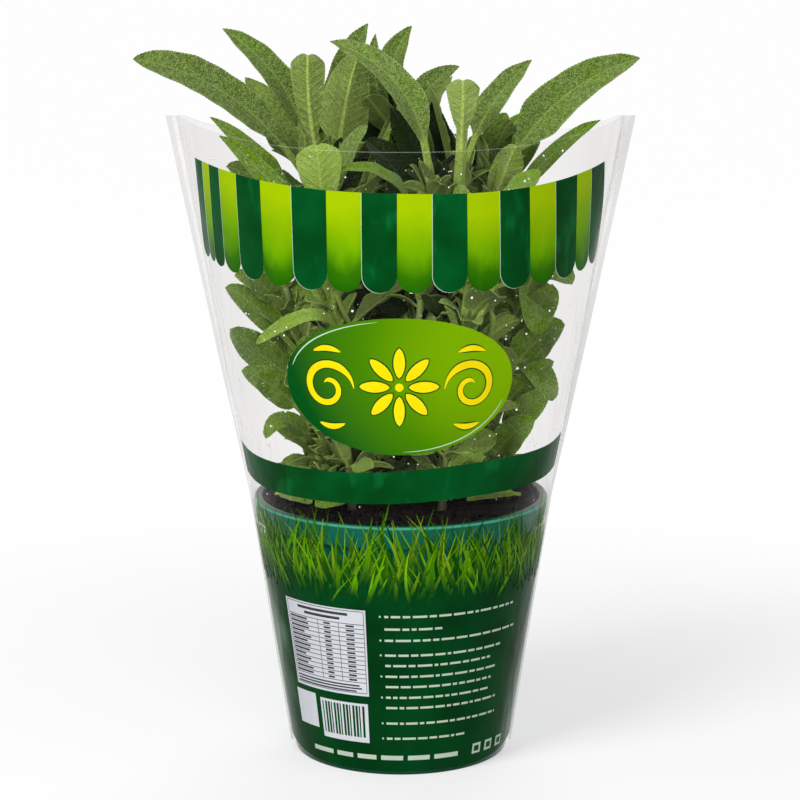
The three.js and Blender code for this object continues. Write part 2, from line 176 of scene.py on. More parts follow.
# %% Shader maths
class Wire:
    """A shader socket that can be added, multiplied and handed to other nodes."""

    def __init__(self, tree, socket=None):
        self.tree, self.socket = tree, socket

    def node(self, kind, settings=None, values=None, out=0):
        made = self.tree.nodes.new("ShaderNode" + kind)
        for title, setting in (settings or {}).items():
            if title != "stops":
                setattr(made, title, setting)
                continue
            stops = made.color_ramp.elements
            for number, (place, shade) in enumerate(setting):
                stop = stops[number] if number < len(stops) else stops.new(place)
                stop.position, stop.color = place, shade
        for title, value in (values or {}).items():
            if isinstance(value, Wire):
                self.tree.links.new(value.socket, made.inputs[title])
            else:
                made.inputs[title].default_value = value
        return Wire(self.tree, made.outputs[out] if made.outputs else None)

    def maths(self, operation, first, second=0.0):
        return self.node("Math", {"operation": operation}, {0: first, 1: second})

    def __add__(self, other):
        return self.maths("ADD", self, other)

    def __sub__(self, other):
        return self.maths("SUBTRACT", self, other)

    def __rsub__(self, other):
        return self.maths("SUBTRACT", other, self)

    def __mul__(self, other):
        return self.maths("MULTIPLY", self, other)

    def __pow__(self, power):
        return self.maths("POWER", self, power)

    __radd__, __rmul__ = __add__, __mul__

    def size(self):
        return self.maths("ABSOLUTE", self)

    def fraction(self):
        return self.maths("FRACT", self)

    def length(self):
        return self.node("VectorMath", {"operation": "LENGTH"}, {0: self}, out="Value")

    def ramp(self, low, high):
        """0 at low and 1 at high, eased."""
        settings = {"interpolation_type": "SMOOTHSTEP"}
        return self.node("MapRange", settings, {"Value": self, "From Min": low, "From Max": high})

    def parts(self):
        split = self.node("SeparateXYZ", None, {0: self}).socket.node.outputs
        return [Wire(self.tree, split[axis]) for axis in range(3)]

    def scaled(self, x, y, z):
        return self.node("VectorMath", {"operation": "MULTIPLY"}, {0: self, 1: (x, y, z)})

    def clouds(self, size, detail=2.0):
        """Noise from 0 to 1 whose patches are about that many units across."""
        return self.node("TexNoise", None, {"Vector": self, "Scale": 1 / size, "Detail": detail})


print("a wire adds nodes for these signs: + - * **")


# %% Colours, relief and finishes
def ink(red, green, blue):
    """A colour in steps of 0 to 255, as the linear light that shaders work in."""
    steps = [v / 255 for v in (red, green, blue)]
    return (*[v / 12.92 if v <= 0.04045 else ((v + 0.055) / 1.055) ** 2.4 for v in steps], 1)


def blend(share, one, other):
    """The colour one where share is 0 and the colour other where it is 1."""
    values = {0: share, 6: one, 7: other}
    return share.node("Mix", {"data_type": "RGBA", "clamp_factor": True}, values, out=2)


def relief(height, depth):
    """The normal of a surface whose relief is that many mm deep for a height of 0 to 1."""
    return height.node("Bump", None, {"Height": height, "Distance": depth * MM})


def new_finish(name):
    finish = bpy.data.materials.new(name)
    finish.use_nodes = True
    finish.node_tree.nodes.clear()
    print("finish:", name)
    return finish, Wire(finish.node_tree)


def noted(start, title):
    return start.node("Attribute", {"attribute_name": title}, out="Vector")


def in_mm(start):
    """Where a point is on the object, in mm."""
    return start.node("TexCoord", None, out="Object").scaled(1 / MM, 1 / MM, 1 / MM)


def solid(start, colour, roughness, normal=None, specular=0.1, more=None):
    """An opaque surface. more holds the values of other sockets by their names."""
    values = {"Base Color": colour, "Roughness": roughness, "Specular IOR Level": specular}
    if normal is not None:
        values["Normal"] = normal
    return start.node("BsdfPrincipled", None, values | (more or {}))


def show(shader):
    shader.node("OutputMaterial", None, {"Surface": shader})


print("the grey 128, 128, 128 as light:", round(ink(128, 128, 128)[0], 3))


# %% [markdown]
# The photographer stood a little above the plant and used a long lens, which keeps the pot's sides
# nearly parallel. The camera is set by its distance, its height and the angle that it looks down by.
# The stage is a pale floor and a white surround, with three large soft lamps. The floor glows
# further out, where the lamps don't reach, so it stays white up to the picture's edge. It throws no
# light back up, which keeps the gaps among the leaves dark, and the lamps don't mirror in the film.

# %% Camera
CAMERA_PLACE = (0, -1301, 428.3)
CAMERA_DOWN = 11.28
LENS = 126
LENS_SHIFT = -0.0011

camera = add_to_scene("camera", bpy.data.cameras.new("camera"))
camera.location = [v * MM for v in CAMERA_PLACE]
camera.rotation_euler = (math.radians(90 - CAMERA_DOWN), 0, 0)
camera.data.lens = LENS
camera.data.shift_x = LENS_SHIFT
bpy.context.scene.camera = camera
bpy.context.scene.view_settings.view_transform = "Standard"
print("the camera looks down by", CAMERA_DOWN, "degrees")

# %% Lamps
LAMP_AIM = 180


def soft_lamp(name, place, width, watts):
    lamp = add_to_scene(name, bpy.data.lights.new(name, "AREA"))
    lamp.data.size = width * MM
    lamp.data.energy = watts
    lamp.location = [v * MM for v in place]
    aim = Vector((0, 0, LAMP_AIM * MM)) - lamp.location
    lamp.rotation_euler = aim.to_track_quat("-Z", "Y").to_euler()
    lamp.visible_glossy = False
    print(f"{name}: {watts} W, {width} mm wide")


soft_lamp("key_lamp", (-800, -900, 1200), 600, 18)
soft_lamp("front_lamp", (350, -1400, 500), 900, 12)
soft_lamp("back_lamp", (200, 900, 1300), 900, 7)

# %% Surround
SURROUND_LIGHT = 0.27

world = bpy.data.worlds.new("surround")
world.use_nodes = True
world.node_tree.nodes.clear()
bpy.context.scene.world = world
start = Wire(world.node_tree)
seen = start.node("LightPath", out="Is Camera Ray") + start.node("LightPath", out="Is Glossy Ray")
light_of = start.node("Background", None, {"Color": (0.97, 0.98, 1, 1), "Strength": SURROUND_LIGHT})
look_of = start.node("Background", None, {"Color": (1, 1, 1, 1), "Strength": 1.0})
both = start.node("MixShader", None, {0: seen, 1: light_of, 2: look_of})
both.node("OutputWorld", None, {"Surface": both})
print("the surround looks white and gives", SURROUND_LIGHT, "of that light")

# %% Floor
FLOOR_RADIUS = 12000
FLOOR_SIDES = 96
SHADOW_REACH = 90
PURE_WHITE_REACH = 520

floor_mesh = bpy.data.meshes.new("floor")
shape = bmesh.new()
bmesh.ops.create_circle(shape, cap_ends=True, radius=FLOOR_RADIUS * MM, segments=FLOOR_SIDES)
shape.to_mesh(floor_mesh)
shape.free()
finish, start = new_finish("floor_paper")
distant = in_mm(start).length().ramp(SHADOW_REACH, PURE_WHITE_REACH)
glow = blend(distant, (0.5, 0.5, 0.5, 1), (0.985, 0.985, 0.985, 1))
grey = blend(distant, (0.45, 0.45, 0.45, 1), (0.015, 0.015, 0.015, 1))
glowing = {"Emission Color": glow, "Emission Strength": 1.0}
show(solid(start, grey, 1.0, specular=0.0, more=glowing))
floor_mesh.materials.append(finish)
floor = add_to_scene("floor", floor_mesh)
floor.visible_diffuse = False
floor.visible_glossy = False
print("the floor is pure white from", PURE_WHITE_REACH, "mm on")

# %% [markdown]
# The pot is thin injection-moulded plastic. It is turned round its axis, so its shape is one profile:
# a foot ring and a middle pad to stand on, a raised channel with the drain holes, a tapering wall and
# a wide lip that is folded down. A lathe of that profile is the direct way. Moulded corners are never
# sharp, so each corner of the profile is replaced by a short curve.

# %% Sizes of the pot
POT_HEIGHT = 124
POT_RIM = 70
POT_BASE = 50.8
POT_WALL = 1.1
POT_FLOOR = 3
LIP_HEIGHT = 11
LIP_OVERHANG = 3.2
LIP_TAPER = 1.7
RIB_BELOW_LIP = 58.8
RIB_HALF_HEIGHT = 1.2
RIB_DEPTH = 0.35
FOOT_WIDTH = 5
PAD_RADIUS = 14
TURNS = 144


def wall_radius(z):
    return mix(POT_BASE, POT_RIM - LIP_OVERHANG, z / POT_HEIGHT)


print("the pot's wall is", wall_radius(POT_HEIGHT), "mm from the axis at the rim")


# %% Profile of the pot
def pot_profile():
    """Radius and height of each corner: outwards below the floor, up the outside, down the inside."""
    lip_bottom = POT_HEIGHT - LIP_HEIGHT
    lip_outer = POT_RIM - LIP_TAPER
    floor_top = POT_FLOOR + POT_WALL
    rib = lip_bottom - RIB_BELOW_LIP
    return [
        (PAD_RADIUS, 0),
        (PAD_RADIUS + 1.5, POT_FLOOR),
        (POT_BASE - FOOT_WIDTH - 1.5, POT_FLOOR),
        (POT_BASE - FOOT_WIDTH, 0),
        (POT_BASE - 0.4, 0),
        (POT_BASE, 0.8),
        (wall_radius(rib - RIB_HALF_HEIGHT), rib - RIB_HALF_HEIGHT),
        (wall_radius(rib) + RIB_DEPTH, rib),
        (wall_radius(rib + RIB_HALF_HEIGHT), rib + RIB_HALF_HEIGHT),
        (wall_radius(lip_bottom + 3), lip_bottom + 3),
        (wall_radius(POT_HEIGHT - 2), POT_HEIGHT - 2),
        (POT_RIM - POT_WALL - 0.4, POT_HEIGHT - 2),
        (lip_outer - POT_WALL, lip_bottom),
        (lip_outer, lip_bottom),
        (POT_RIM, POT_HEIGHT - 1.2),
        (POT_RIM - 0.9, POT_HEIGHT),
        (wall_radius(POT_HEIGHT) - 0.4, POT_HEIGHT),
        (wall_radius(POT_HEIGHT) - POT_WALL, POT_HEIGHT - 1),
        (wall_radius(floor_top) - POT_WALL, floor_top + 1.4),
        (wall_radius(floor_top) - POT_WALL - 1.4, floor_top),
    ]


print("corners of the pot's profile:", len(pot_profile()))


# %% Rounding and turning
def rounded(profile, radius=0.5, steps=4):
    """The profile with each corner between its ends replaced by a short curve."""
    corners = [np.array(p, float) for p in profile]
    made = [corners[0]]
    for before, corner, after in zip(corners, corners[1:], corners[2:]):
        starts = before - corner
        ends = after - corner
        reach = min(radius, np.linalg.norm(starts) / 2.2, np.linalg.norm(ends) / 2.2)
        one = corner + starts / np.linalg.norm(starts) * reach
        two = corner + ends / np.linalg.norm(ends) * reach
        for t in np.linspace(0, 1, steps):
            made.append((1 - t) ** 2 * one + 2 * t * (1 - t) * corner + t * t * two)
    return np.array(made + [corners[-1]])


def capped(rings):
    """A closed body through rings of points round the Z axis, from the bottom up."""
    count, turns = rings.shape[:2]
    faces = grid_faces(count, turns, closed=True)
    below, above = count * turns, count * turns + 1
    last = below - turns
    for i in range(turns):
        after = (i + 1) % turns
        faces.append([below, after, i])
        faces.append([above, last + i, last + after])
    ends = [[0, 0, rings[0, :, 2].mean()], [0, 0, rings[-1, :, 2].mean()]]
    return np.vstack([rings.reshape(-1, 3), ends]), faces


def turned(profile, turns):
    radius, height = profile[:, :1], profile[:, 1:]
    angles = ring_angles(turns)
    return capped(as_vectors(radius * np.cos(angles), radius * np.sin(angles), height))


print("points of the profile once its corners are rounded:", len(rounded(pot_profile())))

# %% Teal plastic
pot_finish, start = new_finish("teal_plastic")
spot = in_mm(start)
height = spot.parts()[2]
from_axis = spot.scaled(1, 1, 0).length()
patches = spot.clouds(26, 3)
teal = blend(patches, ink(0, 82, 62), ink(0, 110, 84))
# A painted highlight: a light teal line along the rounded edge of the lip.
lip_highlight = from_axis.ramp(POT_RIM - 0.8, POT_RIM - 0.4)
lip_highlight = lip_highlight * height.ramp(POT_HEIGHT - 1.7, POT_HEIGHT - 1)
teal = blend(lip_highlight * 0.45, teal, ink(96, 196, 160))
inside = 1 - from_axis.ramp(wall_radius(POT_HEIGHT) - POT_WALL, wall_radius(POT_HEIGHT) - 0.3)
shaded = inside * height.ramp(POT_HEIGHT - 12, POT_HEIGHT - 8) + (1 - height.ramp(1, 14)) * 0.7
teal = blend(shaded * 0.92, teal, ink(10, 15, 12))
# The lip's top is darkened in patches to near black.
lip_top = height.ramp(POT_HEIGHT - 0.7, POT_HEIGHT - 0.3)
lip_top = lip_top * (1 - from_axis.ramp(POT_RIM - 1.6, POT_RIM - 1.0))
lip_top_cover = spot.clouds(3, 2).ramp(0.3, 0.5) * 0.3 + 0.65
teal = blend(lip_top * lip_top_cover, teal, ink(14, 16, 13))
show(solid(start, teal, patches * 0.12 + 0.24, relief(spot.clouds(0.5, 1), 0.02)))

# %% Pot with its drain holes
DRAINS = 6
DRAIN_RADIUS = 4.5
DRAIN_CIRCLE = 30
DRILL_LENGTH = 8

pot = Batch()
pot.add(*turned(rounded(pot_profile()), TURNS), pot_finish)
pot = pot.make("pot_shell", "pot_plastic", ["pot"])

drills = bpy.data.meshes.new("drills")
shape = bmesh.new()
drill_size = {"radius1": DRAIN_RADIUS * MM, "radius2": DRAIN_RADIUS * MM, "depth": DRILL_LENGTH * MM}
for i in range(DRAINS):
    angle = (i + 0.5) * 2 * math.pi / DRAINS
    made = bmesh.ops.create_cone(shape, cap_ends=True, segments=32, **drill_size)
    place = Vector((DRAIN_CIRCLE * math.cos(angle), DRAIN_CIRCLE * math.sin(angle), POT_FLOOR)) * MM
    bmesh.ops.translate(shape, verts=made["verts"], vec=place)
shape.to_mesh(drills)
shape.free()
drill = add_to_scene("drills", drills)
cut = pot.modifiers.new("drain_holes", "BOOLEAN")
cut.object = drill
cut.solver = "EXACT"
bpy.context.view_layer.update()
bored = bpy.data.meshes.new_from_object(pot.evaluated_get(bpy.context.evaluated_depsgraph_get()))
pot.modifiers.clear()
pot.data = bored
bpy.data.objects.remove(drill)
print("pot with its drain holes:", len(bored.polygons), "faces")

# %% [markdown]
# The growing medium is dark, moist peat: a crumbly mound with lumps of all sizes and light flecks of
# fibre. The mound follows the plain solid's formula. Its lumps are real relief, made from the distance
# to scattered points, and looser crumbs lie on top of it. Along the back wall it is pushed up into a
# low heap.

# %% The peat's surface
SOIL_LEVEL = 119.5
SOIL_MOUND = 2.2
SOIL_BUMP = 0.66
GAP = 0.35
LUMP = 6.5
LUMP_RISE = 2.04
HEAP_RISE = 11
SOIL_RIM = wall_radius(SOIL_LEVEL) - POT_WALL - GAP - 0.4


def soil_height(x, y):
    mound = SOIL_MOUND * (1 - (np.hypot(x, y) / SOIL_RIM) ** 2)
    bumps = np.sin(x * 0.31 + 1.3) * np.cos(y * 0.37) + 0.6 * np.sin(x * 0.73 - y * 0.61)
    return SOIL_LEVEL + mound + SOIL_BUMP * bumps


def heap(x, y):
    """Peat that was pushed up along the back wall when the sprigs were set."""
    away = np.hypot(x, y) / SOIL_RIM
    return HEAP_RISE * smooth(y, 0, 34) * smooth(away, 0.56, 0.84) * (1 - 0.5 * smooth(away, 0.93, 1.0))


def lumps(x, y):
    """Height of the crumbly relief, from about -1 to 1."""
    near = noise.voronoi(Vector((x / LUMP, y / LUMP, 0.3)))[0][0]
    small = noise.voronoi(Vector((x / LUMP * 2.7, y / LUMP * 2.7, 5.1)))[0][0]
    return 0.75 - 1.6 * near**2 + 0.35 * (0.5 - small)


print("the peat's radius is", round(SOIL_RIM, 1), "mm and its middle", soil_height(0, 0).round(1), "mm up")

# %% Moist peat
peat, start = new_finish("moist_peat")
spot = in_mm(start)
crumb = spot.clouds(1.3, 4)
flecks = spot.clouds(0.55, 2).ramp(0.62, 0.7)
dark = blend(crumb.ramp(0.35, 0.7), ink(6, 5, 5), ink(33, 27, 26))
dark = blend(flecks * 0.4, dark, ink(78, 60, 46))
damp = 0.95 - spot.clouds(9, 2) * 0.35
show(solid(start, dark, damp, relief(crumb, 0.9)))

# %% Mound of peat
SOIL_RINGS, SPOKES = 64, 200

radius = np.sqrt(np.linspace(0.0004, 1, SOIL_RINGS)) * SOIL_RIM
angles = ring_angles(SPOKES)
x = radius[:, None] * np.cos(angles)
y = radius[:, None] * np.sin(angles)
edge = smooth(radius / SOIL_RIM, 0.93, 1.0)[:, None]
z = soil_height(x, y) + np.vectorize(lumps)(x, y) * LUMP_RISE
z = mix(z, SOIL_LEVEL + 1.6, edge) + heap(x, y)
foot_level = POT_FLOOR + POT_WALL + GAP
foot_radius = wall_radius(foot_level) - POT_WALL - GAP - 1.6
foot = as_vectors(foot_radius * np.cos(angles), foot_radius * np.sin(angles), foot_level)
soil = Batch()
soil.add(*capped(np.concatenate([foot[None], as_vectors(x, y, z)[::-1]])), peat)
soil.make("peat_mound", "substrate", ["soil"])

# %% Crumbs of peat
CRUMBS = 520
CRUMB_SMALL, CRUMB_LARGE = 0.5, 2.8

shape = bmesh.new()
bmesh.ops.create_icosphere(shape, subdivisions=1, radius=1)
ball = np.array([v.co for v in shape.verts])
ball_faces = [[v.index for v in f.verts] for f in shape.faces]
shape.free()
crumbs = Batch()
random = seeded_random(7)
for _ in range(CRUMBS):
    away = SOIL_RIM * 0.97 * math.sqrt(random())
    turn = random() * 2 * math.pi
    x, y = away * math.cos(turn), away * math.sin(turn)
    radius = mix(CRUMB_SMALL, CRUMB_LARGE, random() ** 3)
    stretch = np.array([1 + random(), 0.7 + 0.5 * random(), 0.6 + 0.4 * random()])
    spin = random() * math.pi
    lumpy = 1 + 0.22 * np.sin(ball @ np.array([3.1, 2.3, 4.7]) + random() * 6)
    across, deep, high = (ball * lumpy[:, None] * stretch * radius).T
    east = across * math.cos(spin) - deep * math.sin(spin)
    north = across * math.sin(spin) + deep * math.cos(spin)
    rise = soil_height(x, y) + heap(x, y) + lumps(x, y) * LUMP_RISE + radius * 0.25
    crumbs.add(as_vectors(east + x, north + y, high + rise), ball_faces, peat)
crumbs.make("peat_crumbs", "substrate")

# %% [markdown]
# The sleeve is two panels of clear film, welded to each other along both sides. It is a cone round
# the pot and opens into an oval above it. Film never hangs perfectly even: it has soft folds beside
# the welds and short creases from packing. These stand outwards only, so that the film stays clear of
# the pot and the leaves. One function gives a point of the film for an angle round the front and a
# height, and everything that is printed on the film later asks the same function for its place.

# %% Sizes of the sleeve
SLEEVE_BOTTOM = 1
SLEEVE_BASE = 52
SLEEVE_RIM = 71.1
SLEEVE_TOP = 295.8
CORNER_RISE = 10.2
CORNER_DIP = 2.4
BACK_LOWER = 5.5
HALF_WIDTH = 104
HALF_DEPTH = 86
FLANGE_TOP = 5.5
FLANGE_BOTTOM = 1.2
FILM_INSET = 0.2


def sleeve_radii(z):
    low = mix(SLEEVE_BASE, SLEEVE_RIM, z / POT_HEIGHT)
    share = np.clip((z - POT_HEIGHT) / (SLEEVE_TOP + CORNER_RISE - POT_HEIGHT), 0, None)
    wide = np.where(z <= POT_HEIGHT, low, mix(SLEEVE_RIM, HALF_WIDTH, share))
    return wide, np.where(z <= POT_HEIGHT, low, mix(SLEEVE_RIM, HALF_DEPTH, share**0.8))


def edge_height(around):
    """Height of the sleeve's mouth: it rises to the sides, and the back lies a little lower."""
    side = np.abs(np.sin(np.radians(around)))
    front = SLEEVE_TOP + CORNER_RISE * side**3 - CORNER_DIP * smooth(side, 0.965, 1)
    corner = SLEEVE_TOP + CORNER_RISE - CORNER_DIP
    back = corner - (BACK_LOWER + CORNER_RISE - CORNER_DIP) * (1 - side**8)
    return np.where(np.cos(np.radians(around)) < -1e-6, back, front)


mouth = [edge_height(around).round(1) for around in (0, 90, 180)]
print("height of the mouth at the front, a side and the back:", mouth, "mm")

# %% Folds and creases of the film
CREASES = 34

random = seeded_random(31)
creases = []
for number in range(CREASES):
    side = 1 if number % 2 else -1
    creases.append({
        "around": side * mix(66, 89, random()) + (180 if random() < 0.4 else 0),
        "height": mix(18, 285, random()),
        "slant": mix(-0.4, 0.4, random()),
        "reach": mix(8, 24, random()),
        "rise": mix(0.08, 0.26, random()),
    })


def film_swell(around, z):
    """How far the film stands out from its plain cone, in mm."""
    above = smooth(z, 128, 190)
    side = np.abs(np.sin(np.radians(around)))
    folds = 0.14 * above * side**4 * (1 + np.sin(around * 0.5 + z * 0.012))
    dents = 0.1 * above * (1 + np.sin(around * 0.17 + z * 0.04) * np.sin(around * 0.11 - z * 0.06 + 1))
    swell = folds + dents
    for crease in creases:
        up = z - crease["height"]
        aside = (around - crease["around"] + 180) % 360 - 180
        from_line = aside * 1.3 - up * crease["slant"]
        swell = swell + crease["rise"] * np.exp(-(from_line / 2.6) ** 2 - (up / crease["reach"]) ** 2)
    return swell


print("creases:", len(creases))


# %% Points of the film
def film_point(around, z, out=0.0):
    """Points of the film. around is 0 at the middle of the front and 180 at the middle of the back."""
    around, z = np.broadcast_arrays(np.asarray(around, float), np.asarray(z, float))
    wide, deep = sleeve_radii(z)
    stand = film_swell(around, z) + out - FILM_INSET
    angle = np.radians(around)
    return as_vectors((wide + stand) * np.sin(angle), -(deep + stand) * np.cos(angle), z)


corner = film_point(90, SLEEVE_TOP + CORNER_RISE)
print("half the mouth's width:", corner[0].round(1), "mm")


# %% [markdown]
# Clear film is mostly seen by what it mirrors. Looked at straight on it passes nearly all light, and
# at a glancing angle it turns into a mirror, so the share of gloss rises with the angle. A milky
# white share is added where the film is doubled, in the welds and at the cut edge. The same white
# share paints highlights: faint streaks up the sides and crinkle lines beside the band, where the
# film's folds and creases catch the light.

# %% Patterns of the clear film
FILM_RELIEF = 0.35


def film_normal(spot):
    """The film's fine crinkles."""
    return relief(spot.scaled(1, 1, 0.6).clouds(7, 3), FILM_RELIEF)


film, start = new_finish("clear_film")
spot = in_mm(start)
height = spot.parts()[2]
below_edge, flange, side = noted(start, "film_place").parts()
facing = start.node("LayerWeight", None, {"Blend": 0.5}, out="Facing")
mirror = facing**5 * 0.85 + 0.003

# White in the welds and at the cut edge is the film's own milkiness. The streaks and lines up the sides and
# the crinkle lines beside the band are painted highlights of folds and creases.
streaks = spot.scaled(0.22, 0.22, 0.02).clouds(1, 3).ramp(0.42, 0.72)
lines = spot.scaled(0.7, 0.7, 0.025).clouds(1, 1).ramp(0.56, 0.7)
milk_and_fold_highlights = (streaks * 0.2 + lines * 0.12) * side.ramp(0.72, 1.0)
milk_and_fold_highlights = milk_and_fold_highlights + (1 - below_edge.ramp(0.15, 0.4)) * 0.2
crease_highlight_band = height.ramp(112, 122) * (1 - height.ramp(138, 150)) * side.ramp(0.58, 0.74)
wrinkles = spot.scaled(0.16, 0.16, 0.05).clouds(1, 0.5)
milk_and_fold_highlights = milk_and_fold_highlights + crease_highlight_band * (1 - (wrinkles - 0.5).size().ramp(0.0, 0.02)) * 0.3
welded = flange.ramp(0.02, 0.1)
weld_line = 1 - (flange - 0.35).size().ramp(0.1, 0.22)
milk_and_fold_highlights = milk_and_fold_highlights * (1 - welded) + welded * (0.14 + streaks * 0.1) + welded * weld_line * 0.22 + 0.001
shade = spot.scaled(0.06, 0.06, 0.012).clouds(1, 3) * 0.9 + 0.15
shade = welded * 0.35 + side.ramp(0.3, 0.9) * shade
print("nodes for the patterns:", len(film.node_tree.nodes))

# %% Clear, smoky, glossy and milky film
clear = start.node("BsdfTransparent", None, {"Color": (0.95, 0.946, 0.944, 1)})
smoky = start.node("BsdfTransparent", None, {"Color": (0.86, 0.852, 0.846, 1)})
gloss = {"Color": (0.95, 0.95, 0.95, 1), "Roughness": 0.08, "Normal": film_normal(spot)}
gloss = start.node("BsdfGlossy", None, gloss)
white = start.node("BsdfDiffuse", None, {"Color": (0.88, 0.875, 0.87, 1)})
body = start.node("MixShader", None, {0: shade, 1: clear, 2: smoky})
sheen = start.node("MixShader", None, {0: mirror, 1: body, 2: gloss})
show(start.node("MixShader", None, {0: milk_and_fold_highlights, 1: sheen, 2: white}))
print("the film's finish has", len(film.node_tree.nodes), "nodes")

# %% Panels of film
FILM_ROWS = 90
FLANGE_STEPS = [0.2, 0.45, 0.75, 1.0]

near_weld = np.linspace(-90, -60, 30, endpoint=False)
turns = np.concatenate([near_weld, np.linspace(-60, 60, 80), -near_weld[::-1]])
for name, middle, way in (("film_front", 0, 1), ("film_back", 180, -1)):
    around = middle + turns[None, :]
    z = mix(SLEEVE_BOTTOM, edge_height(around), np.linspace(0, 1, FILM_ROWS)[:, None])
    sheet = film_point(around, z)
    sheet[..., 1] -= way * 0.1 * np.abs(np.sin(np.radians(around))) ** 8
    rise = np.clip(z[:, :1] - POT_HEIGHT, 0, None) / (SLEEVE_TOP - POT_HEIGHT)
    wing = np.array(FLANGE_STEPS) * mix(FLANGE_BOTTOM, FLANGE_TOP, rise)
    left = np.repeat(sheet[:, :1], len(FLANGE_STEPS), 1)
    right = np.repeat(sheet[:, -1:], len(FLANGE_STEPS), 1)
    left[..., 0] += np.sign(left[..., 0]) * wing
    right[..., 0] += np.sign(right[..., 0]) * wing
    whole = np.concatenate([left[:, ::-1], sheet, right], 1)
    from_mouth = whole[-1:, :, 2] - whole[:, :, 2]
    flange_share = np.concatenate([FLANGE_STEPS[::-1], 0 * turns, FLANGE_STEPS])
    side_share = np.pad(np.abs(turns) / 90, len(FLANGE_STEPS), constant_values=1)
    panel = Batch()
    place = as_vectors(from_mouth, flange_share, side_share)
    panel.add(whole, grid_faces(*whole.shape[:2]), film, film_place=place)
    panel.make(name, "film", ["sleeve"])

# %% [markdown]
# Ink lies on the front panel. It could be a pattern in the film's own finish, but a printed edge is
# razor sharp and a pattern of this size would blur once it is baked. So each printed field is a thin
# patch that follows the film a tenth of a millimetre in front of it. A patch is a small grid over two
# numbers: the angle round the front and the height.

# %% Printed fields
LAYER = 0.1
BOTTOM_INK = 0.06


def printed(batch, around, z, layer, finish, **notes):
    """Adds a patch of ink. around and z are grids whose rows go up and columns to the right."""
    points = film_point(around, z, BOTTOM_INK + layer * LAYER)
    batch.add(points, grid_faces(*around.shape), finish, **notes)


def field(left, right, low, high, rows=2, columns=2):
    """An upright field between two angles and two heights, as a pair of grids."""
    around = np.tile(np.linspace(left, right, columns), (rows, 1))
    return around, np.repeat(np.linspace(low, high, rows)[:, None], columns, 1)


print("a layer of ink is", LAYER, "mm in front of the one below it")

# %% Inks
INK_SPECULAR = 0.03


def ink_shader(spot, tint, shine=0.2):
    return solid(spot, tint, shine, film_normal(spot), INK_SPECULAR)


def ink_finish(name, tint, shine=0.2):
    """tint is a function from a place on the object, in mm, to the ink's colour there."""
    finish, start = new_finish(name)
    spot = in_mm(start)
    show(ink_shader(spot, tint(spot), shine))
    return finish


def cloudy(size, one, other):
    """The tint of an ink that wavers between two colours in patches of that size."""
    return lambda spot: blend(spot.clouds(size), one, other)


def glints(spot):
    return spot.scaled(1, 1, 0.45).clouds(9, 2)


def dark_tint(spot):
    tint = blend(spot.clouds(24, 2).ramp(0.3, 0.7), ink(0, 64, 18), ink(0, 84, 34))
    return blend(glints(spot).ramp(0.56, 0.74) * 0.5, tint, ink(10, 112, 52))


def lime_tint(spot):
    up = noted(spot, "ink_place").parts()[1]
    light = up + spot.clouds(30, 2).ramp(0.3, 0.7) * 0.12 + glints(spot).ramp(0.5, 0.8) * 0.1
    stops = [(0.0, ink(24, 92, 0)), (0.2, ink(48, 112, 0))]
    stops += [(0.46, ink(106, 164, 0)), (0.9, ink(160, 192, 0))]
    return light.node("ValToRGB", {"stops": stops}, {"Fac": light})


dark_ink = ink_finish("dark_green_ink", dark_tint)
lime_ink = ink_finish("lime_ink", lime_tint)
pale_ink = ink_finish("pale_ink", cloudy(9, ink(180, 200, 180), ink(206, 220, 200)))

# %% [markdown]
# The upper print is an awning pattern: upright stripes in two greens that end in round scallops. The
# dark stripes are printed last, a little to the right of where they should be, so a pale hairline of
# bare white shows on their left. The stripes run parallel on the flat film. The film grows
# narrower downwards, so they spread over more degrees there. The open sleeve isn't a perfect oval, so
# the stripes take fewer degrees at its left end and at one place near the right end.

# %% Lines of the awning
STRIPE_LEVEL = 277.4
SCALLOP_LEVEL = 232.9
SCALLOP_DEPTH, USUAL_HALF_STRIPE = 8.0, 4.6
STRIPE_REFERENCE = 280
SPREAD_OVER = 45


def stripe_spread(around, z):
    """The angle of a stripe's edge at a height, from its angle at the top."""
    down = (STRIPE_REFERENCE - z) / SPREAD_OVER
    return around * (1 + (0.095 + 0.025 * np.tanh(around / 25) + 0.05 * (around / 65) ** 4) * down)


def stripe_top(around):
    turn = np.radians(around)
    return STRIPE_LEVEL + 11.4 * np.abs(np.sin(turn)) ** 3 - np.sin(2 * turn)


def scallop_bottom(around):
    turn = np.sin(np.radians(around))
    return SCALLOP_LEVEL + 7.4 * np.abs(turn) ** 5 - 1.7 * turn**3


print("a stripe's edge at 60 degrees on top is at", stripe_spread(60, SCALLOP_LEVEL).round(1), "below")

# %% Striped awning
STRIPES = 17
STRIPE_LEFT, STRIPE_RIGHT = -69.8, 68.7
HAIRLINE = 0.14

